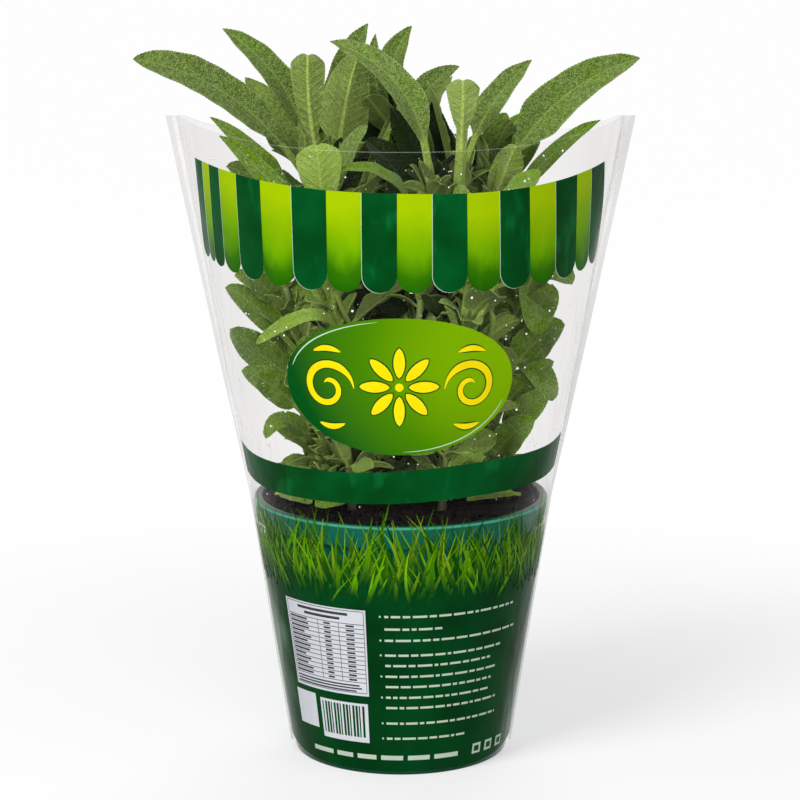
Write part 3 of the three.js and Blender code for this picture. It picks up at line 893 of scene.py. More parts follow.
order = np.arange(STRIPES)
widths = 9.1 - 5 * np.exp(-(((order - 1) / 1.9) ** 2)) + np.exp(-(((order - 5.5) / 1.4) ** 2))
widths = widths - 1.6 * np.exp(-(((order - 15) / 0.8) ** 2))
edges = np.concatenate([[0], np.cumsum(widths) / widths.sum()])
edges = STRIPE_LEFT + (STRIPE_RIGHT - STRIPE_LEFT) * edges
awning = Batch()
across = np.sin(np.linspace(-math.pi / 2, math.pi / 2, 15))
share = np.linspace(0, 1, 26)[:, None]
for number, (left, right) in enumerate(zip(edges, edges[1:])):
    centre, half = (left + right) / 2, (right - left) / 2
    dark = number % 2 == 0
    # Layer, how far it is moved aside, ink
    prints = ((0.5, -HAIRLINE, pale_ink), (1, 0, dark_ink)) if dark else ((0, 0, lime_ink),)
    for layer, aside, stripe_ink in prints:
        around = centre + aside + across * half
        end = SCALLOP_DEPTH * half / USUAL_HALF_STRIPE
        low = scallop_bottom(stripe_spread(around, SCALLOP_LEVEL)) + end * (1 - np.sqrt(1 - across**2))
        z = mix(low + aside, stripe_top(around), share)
        spread = stripe_spread(around[None, :], z)
        printed(awning, spread, z, layer, stripe_ink, ink_place=as_vectors(across, share, number))
awning.make("print_awning", "film")

# %% [markdown]
# Below the awning is a badge: a plain oval in a soft gradient of greens, with a fine pale line along
# two parts of its edge. Its ornament is a rosette between two scrolls. Petals and scrolls are strokes
# of a changing width along a path, drawn once in dark ink and once, narrower, in yellow.

# %% Inks of the badge
def badge_tint(spot):
    across, up, _ = noted(spot, "ink_place").parts()
    glow = 0.52 - across * 0.42 - up * 0.12 + (across * across + up * up) * 0.12
    stops = [(0.0, ink(146, 196, 0)), (0.35, ink(118, 168, 0))]
    stops += [(0.62, ink(70, 130, 0)), (1.0, ink(0, 80, 20))]
    return glow.node("ValToRGB", {"stops": stops}, {"Fac": glow})


badge_ink = ink_finish("badge_ink", badge_tint)
yellow_ink = ink_finish("yellow_ink", cloudy(8, ink(244, 214, 0), ink(255, 232, 20)))

# %% Strokes of the badge
BADGE_AROUND, BADGE_HEIGHT = -0.5, 190
BADGE_HALF_WIDTH, BADGE_HALF_HEIGHT = 37.5, 31.5
MM_PER_DEGREE = 1.45

badge = Batch()


def badge_points(across, up, layer, finish):
    """Ink on the badge. across and up are grids in shares of the badge's half width and height."""
    around = BADGE_AROUND + across * BADGE_HALF_WIDTH
    z = BADGE_HEIGHT + up * BADGE_HALF_HEIGHT
    printed(badge, around, z, layer, finish, ink_place=as_vectors(across, up, 0))


def disc(wide, high, rings, corners, layer, finish):
    """A filled oval in the middle, wide and high in the same shares."""
    turn = np.linspace(0, 2 * math.pi, corners + 1)
    scale = np.linspace(1.0, 0.01, rings)[:, None]
    badge_points(wide * scale * np.sin(turn), high * scale * np.cos(turn), layer, finish)


def rim_line(first, last, middle=0.955, thick=0.014):
    """A fine pale line beside the edge between two angles, thin at both ends."""
    share = np.linspace(0, 1, 40)
    turn = np.radians(mix(first, last, share))
    half = thick / 2 * np.sin(share * math.pi) ** 0.5 + 0.001
    scale = np.stack([middle + half, middle - half])
    badge_points(scale * np.sin(turn), scale * np.cos(turn), 2, pale_ink)


def stroke(x, y, width, layer, finish):
    """A line of ink of a changing width along a path on the badge, in mm."""
    ahead = np.stack([np.gradient(x), np.gradient(y)])
    ahead /= np.linalg.norm(ahead, axis=0)
    aside = np.array([[1.0], [0.0], [-1.0]]) * width / 2
    wide, high = BADGE_HALF_WIDTH * MM_PER_DEGREE, BADGE_HALF_HEIGHT
    badge_points((x + ahead[1] * aside)[::-1] / wide, (y - ahead[0] * aside)[::-1] / high, layer, finish)


disc(1, 1, 10, 120, 1, badge_ink)
rim_line(-75, -10)
rim_line(105, 178)
print("plain badge:", badge.count, "points")

# %% Rosette and scrolls
OUTLINE = 0.65
PETALS = 8

share = np.linspace(0, 1, 15)
fine = np.linspace(0, 1, 60)
bow = np.sin(share * math.pi)
for layer, finish, grow in ((2, dark_ink, 2 * OUTLINE), (3, yellow_ink, 0.0)):
    for number in range(PETALS):
        turn = number * 2 * math.pi / PETALS
        away = mix(4.2 - grow / 2, 18 + grow / 2, share)
        stroke(away * math.sin(turn), away * math.cos(turn), (5.0 + grow) * bow**0.6, layer, finish)
    for side in (-1, 1):
        spiral = 12.5 * (1 - 0.8 * fine)
        turn = math.pi - 2.7 * math.pi * fine
        width = (3.6 + grow) * (1 - 0.45 * fine) * np.minimum(1, np.sin(fine * math.pi) * 2.5 + 0.1)
        stroke(side * (33 + spiral * np.cos(turn)), spiral * np.sin(turn) - 1, width, layer, finish)
        for row in (-1, 1):
            x, y = mix(25.5, 38.5, share), row * (16.5 + 1.6 * bow)
            stroke(side * x, y - 1, (2.6 + grow) * bow**0.6, layer, finish)
disc(0.035, 0.06, 2, 24, 3, yellow_ink)
badge.make("print_badge", "film")

# %% [markdown]
# Lower down a plain dark band goes round the front, a little higher on its right than on its left.

# %% Band
BAND_LEFT, BAND_RIGHT = -80, 76
BAND_LOW, BAND_HIGH = 136.2, 151.6

band = Batch()
around, share = field(BAND_LEFT, BAND_RIGHT, 0, 1, 6, 90)
lean = np.tanh((around - 8) / 25)
turned_up = 4 * (np.abs(around) / 78) ** 8
z = mix(BAND_LOW + 1.7 * lean, BAND_HIGH + 2.5 * lean, share) + turned_up
printed(band, around, z, 1, dark_ink)
band.make("print_band", "film")

# %% [markdown]
# The lower part is a dark green panel that fades out upwards behind a strip of grass. A real strip is
# a picture of a lawn. Here each blade is drawn by a seeded rule: where it stands, how far it leans,
# how it bends and how bright it is. Short dark blades lie at the back and long bright ones in front.

# %% Ink that fades out
FADE_FROM, FADE_TO = 95, 117

panel_ink, start = new_finish("fading_green_ink")
spot = in_mm(start)
around_note, height_note, _ = noted(start, "ink_place").parts()
aside = around_note.size()
tint = blend(spot.clouds(24, 2).ramp(0.3, 0.7), ink(0, 54, 16), ink(0, 68, 26))
# Painted reflections of the film's folds: light grey-green patches near both sides, weaker on the right.
fold_reflection = aside.ramp(58, 66) * (1 - aside.ramp(70, 80)) * spot.clouds(50, 2).ramp(0.42, 0.66)
fold_reflection = (fold_reflection + aside.ramp(78, 84)) * (1 - around_note.ramp(-10, 10) * 0.75)
tint = blend(fold_reflection * 0.8, tint, ink(148, 180, 152))
fade = height_note.ramp(FADE_FROM, FADE_TO)
ragged = fade + (spot.scaled(1, 1, 0.15).clouds(2.2, 2) - 0.5) * 0.5 * fade
inked = ink_shader(spot, tint)
bare = start.node("BsdfTransparent", None, {"Color": (1, 1, 1, 1)})
show(start.node("MixShader", None, {0: ragged.ramp(0, 1), 1: inked, 2: bare}))

# %% Lower panel
PANEL_SIDE = 85
PANEL_TOP = 118

panel = Batch()
around, share = field(-PANEL_SIDE, PANEL_SIDE, 0, 1, 44, 130)
z = mix(SLEEVE_BOTTOM + 1.2 + 6 * np.abs(np.sin(np.radians(around))) ** 8, PANEL_TOP, share)
printed(panel, around, z, 0, panel_ink, ink_place=as_vectors(around, z, 0))
panel.make("print_lower_panel", "film")

# %% Grass
GRASS_SIDE = 83
BLADES = 540
GOLDEN_STEP = 0.618034
DEGREES_PER_RADIAN = 57.3
SLEEVE_GAIN = 19


def grass_tint(spot):
    foot, bright, fresh = noted(spot, "ink_place").parts()
    green = blend(bright, ink(4, 60, 0), ink(104, 170, 2))
    green = blend(fresh * foot, green, ink(170, 206, 40))
    return blend(1 - foot.ramp(0.0, 0.6), green, ink(0, 62, 20))


grass_ink = ink_finish("grass_ink", grass_tint, 0.3)
grass = Batch()
random = seeded_random(54)
share = np.linspace(0, 1, 7)[:, None]
for number in range(BLADES):
    near = number / BLADES
    at = mix(-GRASS_SIDE, GRASS_SIDE, (number * GOLDEN_STEP) % 1)
    foot = mix(96, 84, near) + random() * 8
    tall = min(mix(12, 36, random() ** 1.4), mix(131, 119, near) - foot + random() * 5)
    lean = (random() - 0.5) * 1.1
    bend = (random() - 0.5) * 0.7
    wide = mix(0.9, 2.6, random() ** 2)
    bright = random() ** 1.4 * mix(0.45, 1.0, near)
    fresh = 1.6 * max(0.0, random() - 0.6)
    half = wide / 2 * (1 - share**1.6) + 0.06
    aside = tall * (lean * share + bend * share**2) + half * np.array([[-1.0, 1.0]])
    around = at + aside * DEGREES_PER_RADIAN / (SLEEVE_BASE + SLEEVE_GAIN * foot / POT_HEIGHT)
    place = as_vectors(share + 0 * aside, bright, fresh)
    printed(grass, around, foot + tall * share, 1 + 2 * near, grass_ink, ink_place=place)
grass.make("print_grass", "film")

# %% [markdown]
# On the lower panel are a white ruled table, a small blank label, a field of plain upright bars and
# some ruled lines. They hold no words: they only keep the balance of light and dark of a printed
# sleeve. Each ruled line is its own thin patch.

# %% White plates
# Angles of the left and right side, heights of the lower and upper edge
TABLE = (-55.8, -14.6, 40.0, 83.0)
LABEL = (-57.5, -43.6, 20.0, 37.2)
BARS = (-40.8, -15.4, 16.3, 36.0)
UNDER, OVER = 4, 5

white_ink = ink_finish("white_ink", cloudy(14, ink(212, 214, 220), ink(228, 230, 236)))
grey_ink = ink_finish("grey_ink", cloudy(3, ink(38, 44, 44), ink(74, 80, 80)))
labels = Batch()


def plate(left, right, low, high, layer, finish):
    columns = max(2, int((right - left) / 2) + 2)
    rows = max(2, int((high - low) / 6) + 2)
    printed(labels, *field(left, right, low, high, rows, columns), layer, finish)


for place in (TABLE, LABEL, BARS):
    plate(*place, UNDER, white_ink)
print("white plates:", labels.count, "points")

# %% Ruled table
TABLE_ROWS = 13
HEAD_HEIGHT = 7.5
NOTE_HEIGHT = 6.5
RULE = 0.32
INSET = 1.0

left, right, low, high = TABLE
width, middle = right - left, (left + right) / 2
outer = (low + 1.2, high - INSET)
inner = (low + NOTE_HEIGHT, high - HEAD_HEIGHT)
columns = [left + INSET, mix(left, right, 0.45), mix(left, right, 0.7), right - INSET]
for z in (*outer, *np.linspace(*inner, TABLE_ROWS + 1)):
    plate(columns[0], columns[-1], z, z + RULE, OVER, grey_ink)
for at in columns:
    ends = outer if at in (columns[0], columns[-1]) else inner
    plate(at, at + RULE * 0.8, *ends, OVER, grey_ink)
row_height = (inner[1] - inner[0]) / TABLE_ROWS
random = seeded_random(5)
for row in range(TABLE_ROWS):
    z = inner[0] + (row + 0.38) * row_height
    for cell, (one, two) in enumerate(zip(columns, columns[1:])):
        filled = mix(0.45, 0.8, random()) if cell == 0 else 0.4
        begin = one + (1.0 if cell == 0 else (two - one) * 0.3)
        plate(begin, begin + (two - one - 2) * filled, z, z + row_height * 0.42, OVER, grey_ink)
for z, share in ((high - 3.4, 0.62), (high - 5.8, 0.44)):
    plate(middle - width * share / 2, middle + width * share / 2, z, z + 1.3, OVER, grey_ink)
for z, share in ((low + 4.6, 0.94), (low + 3.2, 0.97), (low + 1.8, 0.9)):
    plate(left + 2, left + 2 + (width - 4) * share, z, z + 0.75, OVER, grey_ink)
print("with the ruled table:", labels.count, "points")

# %% Upright bars
BAR_COUNT = 14

left, right, low, high = BARS
pitch = (right - left - 2.4) / BAR_COUNT
for number in range(BAR_COUNT):
    thick = pitch * (0.68 if number % 3 else 0.4)
    at = left + 1.2 + number * pitch
    plate(at, at + thick, low + 2.6, high - 1.2, OVER, dark_ink)
print("with the bars:", labels.count, "points")

# %% Ruled lines
# Height of a row, the angle where it ends, and whether it begins with a dot
ROWS = [(80.4, 54, 1), (74.2, 18, 0), (68.6, 57, 1), (61.2, 50, 1), (56.0, 43, 0), (50.6, 47, 1)]
ROWS += [(45.4, 45, 0), (40.0, 44, 1), (34.8, 50, 0), (26.9, 51, 1), (19.2, 33, 1)]


def dashes(left, right, z, half, shortest, longest, gap):
    """A row of plain dashes of random lengths, in degrees."""
    at = left
    while at < right - shortest / 2:
        end = min(at + mix(shortest, longest, random()), right)
        plate(at, end, z - half, z + half, UNDER, pale_ink)
        at = end + gap


for z, end, dotted in ROWS:
    dashes(-6.8, end, z, 0.55, 1.6, 6.5, 1.0)
    if dotted:
        plate(-9.0, -8.2, z - 0.45, z + 0.45, UNDER, pale_ink)
dashes(-49, 31, 9.3, 1.15, 9, 15, 2.4)
for at in (38.5, 47, 56):
    plate(at, at + 5.4, 7.4, 12.6, UNDER, pale_ink)
    plate(at + 1.1, at + 4.3, 8.6, 11.4, OVER, dark_ink)
labels.make("print_labels", "film")

# %% [markdown]
# Sage leaves have three looks. The upper face is grey-green and pebbled, because the blade bulges
# between a fine net of sunken veins. The underside is paler and the same net stands out from it. The
# stalk is pale and fleshy. All of it is felted with short hairs, which give a soft sheen at a glancing
# angle. The finish reads three notes: where a point lies on the blade, in mm, on which face and how
# near the edge and the stalk it lies, and the tone, the hue and the youth of its leaf. A youth below 0
# is a painted shade that darkens the leaf.

# %% Patterns of a leaf
leaf_finish, start = new_finish("sage_leaf")
place = noted(start, "leaf_place")
across, along, _ = place.parts()
under, rim, blade = noted(start, "leaf_form").parts()
tone, hue, young = noted(start, "leaf_tone").parts()
wander = (place.clouds(3.5, 2) - 0.5) * 1.6
rib = 1 - (across.size() + blade * 0.35).ramp(0.25, 1.0)
keel = 1 - (across.size() + blade * 0.8).ramp(0.7, 1.5)
branch = (along - across.size() * 0.8 + wander) * 0.27
vein = 1 - (branch.fraction() - 0.5).size().ramp(0.0, 0.16)
net = {"Vector": place, "Scale": 1.15, "Randomness": 1.0}
dome = start.node("TexVoronoi", {"feature": "DISTANCE_TO_EDGE"}, net).ramp(0.0, 0.38)
mottle = place.clouds(1.4, 3).ramp(0.3, 0.7)
felt = place.clouds(0.22, 2)
patch = place.clouds(9, 2)
on_blade = blade.ramp(-0.02, 0.08)

# %% Colours of a leaf's upper face
deep = blend(tone, ink(26, 52, 2), ink(66, 94, 20))
crown = blend(tone, ink(134, 158, 78), ink(178, 196, 124))
deep = blend(hue * 0.6, deep, ink(60, 104, 2))
crown = blend(hue * 0.6, crown, ink(176, 216, 80))
# The crowns of the pebbles are lighter and the sunken grooves darker: partly the felt on the crowns, partly
# painted shade in the grooves.
texture = dome * 0.5 + mottle * 0.4 + (felt - 0.5) * 0.1
texture = 0.5 + (texture - 0.47) * (1.05 - hue * 0.35)
upper = blend(texture, deep, crown)
misty = place.clouds(16, 1).ramp(0.5, 0.66)
upper = blend(misty * hue * 0.5, upper, ink(116, 142, 84))
# Yellow-green patches on leaves of a high hue, such as those inside the sleeve: partly the fresher green of
# the blade and partly painted light shining through it.
fresh = blend(texture, ink(54, 96, 0), ink(148, 190, 30))
upper = blend(patch.ramp(0.42, 0.6) * hue, upper, fresh)
upper = blend(rib * 0.6 + vein * 0.16, upper, ink(150, 170, 84))
print("nodes up to the upper face:", len(leaf_finish.node_tree.nodes))

# %% Colours of its underside and its stalk
pale = blend(tone, ink(44, 66, 16), ink(130, 150, 84))
pale = blend(hue * 0.5, pale, ink(146, 174, 70))
lower = blend(mottle * 0.4, pale, ink(142, 160, 98))
# The same patches under the leaf, partly painted light shining through the blade.
lower = blend(patch.ramp(0.42, 0.62) * hue * 0.8, lower, ink(112, 150, 18))
lower = blend(vein * 0.3 + (1 - dome) * 0.45, lower, ink(156, 176, 92))
lower = blend(keel * 0.9, lower, ink(176, 198, 96))
face = blend(under, upper, lower)
# A pale rim along the edge: the felt of hairs there, partly painted sheen.
face = blend(rim.ramp(0.86, 1.0) * 0.4, face, ink(164, 184, 108))
# Young leaves are lighter. Below 0 the youth note is a painted shade: the leaf is darkened towards a deep
# green, as leaves deep in the plant and in its gaps lie in shade.
face = blend(young * 0.45, face, ink(158, 190, 78))
face = blend(young * -0.75, face, ink(10, 30, 0))
stalk_green = blend(felt, ink(126, 156, 50), ink(180, 202, 104))
face = blend(on_blade, stalk_green, face)
print("nodes up to the stalk:", len(leaf_finish.node_tree.nodes))

# %% Relief and sheen of a leaf
TOP_SHINE = 0.12
FELT_SHEEN = {"Sheen Weight": 0.12, "Sheen Roughness": 0.45, "Sheen Tint": (0.92, 1.0, 0.8, 1)}

top_relief = dome * 0.7 + mottle * 0.4 - rib * 0.7 - vein * 0.4
low_relief = keel * 0.6 + vein * 0.45 + (1 - dome) * 0.5 + mottle * 0.2
height = top_relief * (1 - under) + low_relief * under
show(solid(start, face, 0.75, relief(height, 0.65), TOP_SHINE, FELT_SHEEN))
print("the leaf finish has", len(leaf_finish.node_tree.nodes), "nodes")

# %% Stem finish
stem_finish, start = new_finish("sage_stem")
spot = in_mm(start)
height = spot.parts()[2]
woody = 1 - (height + (spot.clouds(9, 2) - 0.5) * 50).ramp(128, 178)
green = blend(spot.clouds(0.5, 2), ink(112, 138, 66), ink(166, 182, 112))
bark = blend(spot.scaled(1, 1, 0.2).clouds(0.8, 3), ink(60, 48, 32), ink(116, 98, 68))
bark = blend((1 - height.ramp(122, 150)) * 0.85, bark, ink(26, 20, 16))
skin = blend(woody * 0.9, green, bark)
furrows = relief(spot.scaled(1, 1, 0.25).clouds(0.6, 2), 0.3)
show(solid(start, skin, 0.75, furrows, TOP_SHINE, {"Sheen Weight": 0.12, "Sheen Roughness": 0.5}))

# %% [markdown]
# A leaf is a closed, thin body: an upper and a lower grid along the same bent midrib, joined round
# the rim. The midrib is a curve from the root over a knee to the tip, as in the plain leaf. Across it
# the blade rises to both sides in a shallow V, bulges between its side veins, and ends in a finely
# notched edge. Towards the root the two edges draw together into the stalk, which is round below and
# grooved on top. The outline is a bow over the blade's length: its skew says where the leaf is widest,
# its fullness how blunt the ends are, and its taper how much it narrows on the way to the tip. The
# long blades also narrow gently into their stalks and end in a small point.

# %% Rows along the midrib
CURLED_PART = 0.14
LEAST_ROWS = 9
USUAL_LEAF = {"stalk": 0.3, "stoutness": 0.85, "curled": False, "bow": None}


def leaf_of(root, knee, tip, width, face, **own):
    """What fine_leaf needs to know of a leaf. face is the way that its upper face looks."""
    return USUAL_LEAF | {"root": root, "knee": knee, "tip": tip, "width": width, "face": face} | own


def bezier(root, knee, tip, share):
    s = share[:, None]
    place = (1 - s) ** 2 * root + 2 * s * (1 - s) * knee + s**2 * tip
    along = 2 * (1 - s) * (knee - root) + 2 * s * (tip - knee)
    return place, along / np.linalg.norm(along, axis=1)[:, None]


def midrib(leaf, spacing):
    """Rows along a leaf: their shares of its length, their places, the way the leaf runs there, the
    length, and the part of it that is seen before a curled tip turns back."""
    ends = [np.asarray(leaf[k], float) for k in ("root", "knee", "tip")]
    fine_share = np.linspace(0, 1 + CURLED_PART * leaf["curled"], 80)
    line, _ = bezier(*ends, fine_share)
    passed = np.concatenate([[0], np.cumsum(np.linalg.norm(np.diff(line, axis=0), axis=1))])
    length = passed[-1]
    share = np.linspace(0, 1, max(LEAST_ROWS, int(length / spacing)))
    centre, along = bezier(*ends, np.interp(share * length, passed, fine_share))
    return share, centre, along, length, np.interp(1, fine_share, passed)


example = leaf_of((0, 0, 0), (20, 0, 30), (50, 0, 40), 18, (-0.5, 0, 0.8))
print("an example leaf is", midrib(example, 1.0)[3].round(1), "mm long")

# %% Width and fold at each row
LONG_LEAF = 60
# Skew, fullness and taper
CURLED_BOW, LONG_BOW, SHORT_BOW = (1.8, 0.7, 0), (0.7, 0.5, 0.25), (0.85, 0.53, 0)
POINTED_END = 8.0
# Shares of the blade's length where its fold and width swing up and down, and by how much
LONG_STEPS = [0.1, 0.28, 0.5, 0.7, 0.87]
SHORT_STEPS = [0.3, 0.72]
FOLD, LONG_FOLD, WAVE, SWING = 0.22, 0.42, 0.06, 0.025
NOTCH = 0.1
FULL_WIDTH = 12
THINNEST = 0.12


def fold_and_swing(leaf, length, share):
    """How far the blade's sides rise at each row, and how much wider than its bow the blade is."""
    stalk = leaf["stalk"]
    steps = LONG_STEPS if leaf["width"] > 8 and length > 40 else SHORT_STEPS
    swings = np.array([1 if k % 2 else -1 for k in range(len(steps))])
    at = np.concatenate([[0, stalk], mix(stalk, 1, np.array(steps))])
    fold = LONG_FOLD if length > LONG_LEAF and not leaf["curled"] else FOLD
    lift = np.interp(share, at, np.concatenate([[0, 0.05], fold + WAVE * swings]))
    return lift, np.interp(share, at, np.concatenate([[0, 0], SWING * swings]))


def half_widths(leaf, length, share, blade, swing, stalk_half):
    """Half the leaf's width at each row. blade is 0 where the blade begins and 1 at the tip."""
    usual = CURLED_BOW if leaf["curled"] else LONG_BOW if length > LONG_LEAF else SHORT_BOW
    skew, fullness, taper = leaf["bow"] or usual
    part = np.clip(blade, 0, 1) ** skew
    half = leaf["width"] / 2 * (4 * part * (1 - part)) ** fullness * (1 + swing)
    half = half * (1 - taper * np.clip(blade, 0, 1)) * (1 + 0.35 * taper)
    if length > LONG_LEAF:
        half = half * mix(0.45, 1, smooth(blade, 0, 0.3))
        half = half * np.clip((1 - share) * length / POINTED_END, 0, 1) ** 0.3
    half = np.where(blade < 0.5, np.maximum(half, stalk_half), half)
    notch = np.where(np.arange(len(share)) % 2, -NOTCH, NOTCH) * min(1, leaf["width"] / FULL_WIDTH)
    return np.maximum(half + notch * smooth(blade, -0.03, 0.12), THINNEST)


share = np.linspace(0, 1, 5)
print("its fold along the way:", fold_and_swing(example, 66, share)[0].round(2))


# %% Faces of a leaf's mesh
def leaf_faces(rows, columns):
    """An upper grid, a lower grid that looks the other way, and the rim between them."""
    count = rows * columns
    faces = grid_faces(rows, columns)
    faces += [[a + count for a in face[::-1]] for face in grid_faces(rows, columns)]
    for r in range(rows - 1):
        one, two = r * columns, (r + 1) * columns
        faces.append([one, two, two + count, one + count])
        one, two = one + columns - 1, two + columns - 1
        faces.append([two, one, one + count, two + count])
    last = (rows - 1) * columns
    for c in range(columns - 1):
        faces.append([c + 1, c, c + count, c + 1 + count])
        faces.append([last + c, last + c + 1, last + c + 1 + count, last + c + count])
    return faces


print("a leaf of 9 x 5 points has", len(leaf_faces(9, 5)), "faces")

# %% Heights of a leaf's two faces
BLADE_THICK = 0.34
VEIN_PITCH = 3.7


def leaf_levels(aside, mm, u, half, lift, blade, stalk_half, size, variant):
    """Heights of the upper and the lower face over the midrib. u goes from -1 to 1 across the leaf."""
    blade = blade[:, None]
    bulge = np.cos(2 * math.pi * (mm - np.abs(aside) * 0.75) / VEIN_PITCH)
    quilt = 0.2 * size * bulge * smooth(np.abs(u), 0.1, 0.4) * (1 - smooth(np.abs(u), 0.8, 1))
    ruffle = 0.3 * size * np.sin(mm * 0.5 + variant * 1.7 + np.sign(u)) * np.abs(u) ** 3
    groove = 0.3 * size * np.exp(-(aside / 0.9) ** 2)
    blade_top = lift[:, None] * half[:, None] * np.abs(u) ** 1.2 + quilt + ruffle - groove
    keel = mix(1.15, 0.15, np.clip(blade, 0, 1)) * size * np.exp(-(aside / 0.8) ** 2)
    blade_low = blade_top - BLADE_THICK / 2 - keel
    stalk_top = 0.5 * stalk_half * (1 - u**2) - 0.3 * np.exp(-(u / 0.35) ** 2)
    stalk_low = -1.15 * stalk_half * np.sqrt(np.clip(1 - 0.96 * u**2, 0, 1))
    on_blade = smooth(blade, -0.03, 0.12)
    top = mix(stalk_top, blade_top + BLADE_THICK / 2, on_blade)
    return top, np.minimum(mix(stalk_low, blade_low, on_blade), top - THINNEST)


print("a blade is", BLADE_THICK, "mm thick, and its side veins are", VEIN_PITCH, "mm apart")

# %% One fine leaf
CURL_RADIUS = 3.2
FURTHEST_CURL = 2.4
VARIANTS = 97


def fine_leaf(batch, leaf, grid, tone, hue, young, variant=None):
    """Adds a leaf. grid holds how many mm its rows are apart and the faces on each side of its rib."""
    spacing, half_columns = grid
    variant = batch.count % VARIANTS if variant is None else variant
    share, centre, along, length, seen_length = midrib(leaf, spacing)
    across = np.cross(along, leaf["face"])
    across /= np.linalg.norm(across, axis=1)[:, None]
    normal = np.cross(across, along)
    blade = (share - leaf["stalk"]) / (1 - leaf["stalk"])
    stalk_half = (0.9 + 0.03 * leaf["width"]) * leaf["stoutness"]
    lift, swing = fold_and_swing(leaf, length, share)
    half = half_widths(leaf, length, share, blade, swing, stalk_half)
    u = np.sin(np.linspace(-math.pi / 2, math.pi / 2, 2 * half_columns + 1))
    aside = half[:, None] * u
    mm = share[:, None] * length + 0 * aside
    size = min(1.0, leaf["width"] / FULL_WIDTH)
    levels = leaf_levels(aside, mm, u, half, lift, blade, stalk_half, size, variant)
    flat = centre[:, None] + across[:, None] * aside[..., None]
    sheets = [flat + normal[:, None] * level[..., None] for level in levels]
    if leaf["curled"]:
        crest = seen_length - CURL_RADIUS - np.exp(-((u / 0.2) ** 2)) - 4.5 * np.abs(u) ** 3
        beyond = np.clip(mm - crest, 0, None)[..., None]
        arc = np.minimum(beyond / CURL_RADIUS, FURTHEST_CURL)
        ahead = along[:, None] * (np.sin(arc) * CURL_RADIUS - beyond)
        sheets = [sheet + ahead + normal[:, None] * (1 - np.cos(arc)) * CURL_RADIUS for sheet in sheets]
    place = as_vectors(aside, mm, variant * 7.3)
    form = as_vectors(0 * aside, np.abs(u), blade[:, None])
    batch.add(
        sheets, leaf_faces(*aside.shape), leaf_finish,
        leaf_place=[place, place],
        leaf_form=[form, form + (1, 0, 0)],
        leaf_tone=(tone, hue, young),
    )


trial = Batch()
fine_leaf(trial, example, (1.0, 4), 0.5, 0.5, 0)
print("the example leaf as a mesh:", trial.count, "points")

# %% [markdown]
# The fourteen stems stand in the pot as in the plain model: each goes straight up in its hole and
# leans out above the soil. A real plant's leaves could be drawn by a rule alone, but the long leaves
# make its outline, so these are listed one by one.

# %% Stems
HOLE_DEPTH = 16
RISE_START = SOIL_LEVEL + SOIL_MOUND + 2
STEM_FOOT = SOIL_LEVEL - HOLE_DEPTH + 2
# Name, foot, top
STEMS = [
    ("01", (-22, 3), (-43, 3, 279)),
    ("02", (-13, -11), (-31, -8, 277)),
    ("03", (3, -15), (14, -27, 271)),
    ("04", (14, -6), (27, -18, 272)),
    ("05", (26, -3), (43, -8, 268)),
    ("06", (-15, 17), (-29, 27, 272)),
    ("07", (0, 10), (0, 24, 290)),
    ("08", (16, 18), (36, 26, 277)),
    ("09", (-23, -26), (-37, -40, 258)),
    ("10", (19, -28), (38, -46, 252)),
    ("11", (-37, 3), (-58, 8, 236)),
    ("12", (40, 2), (61, 6, 238)),
    ("13", (-17, 38), (-26, 54, 246)),
    ("14", (19, 39), (26, 54, 250)),
]


def stem_point(base, top, z):
    share = max(0.0, (z - RISE_START) / (top[2] - RISE_START))
    lean = share * (0.55 + 0.45 * share)
    return np.array([mix(base[0], top[0], lean), mix(base[1], top[1], lean), z])


print("stems:", len(STEMS), "the tallest is", max(top[2] for _, _, top in STEMS), "mm high")

# %% Ways that a leaf's upper face looks
UP_FRONT = (0, -0.6, 0.8)
UP_LEFT = (-0.2, -0.85, 0.5)
UP_RIGHT = (0.2, -0.85, 0.5)
TO_FRONT = (-0.3, -0.9, 0.3)
TO_LEFT = (0.35, -0.9, 0.3)
ARCHING = (0.1, -0.77, 0.63)
UP_BACK = (0.1, -0.4, 0.9)
BACKWARD = (0, 1, 0.25)
print("up and to the front is", UP_FRONT)

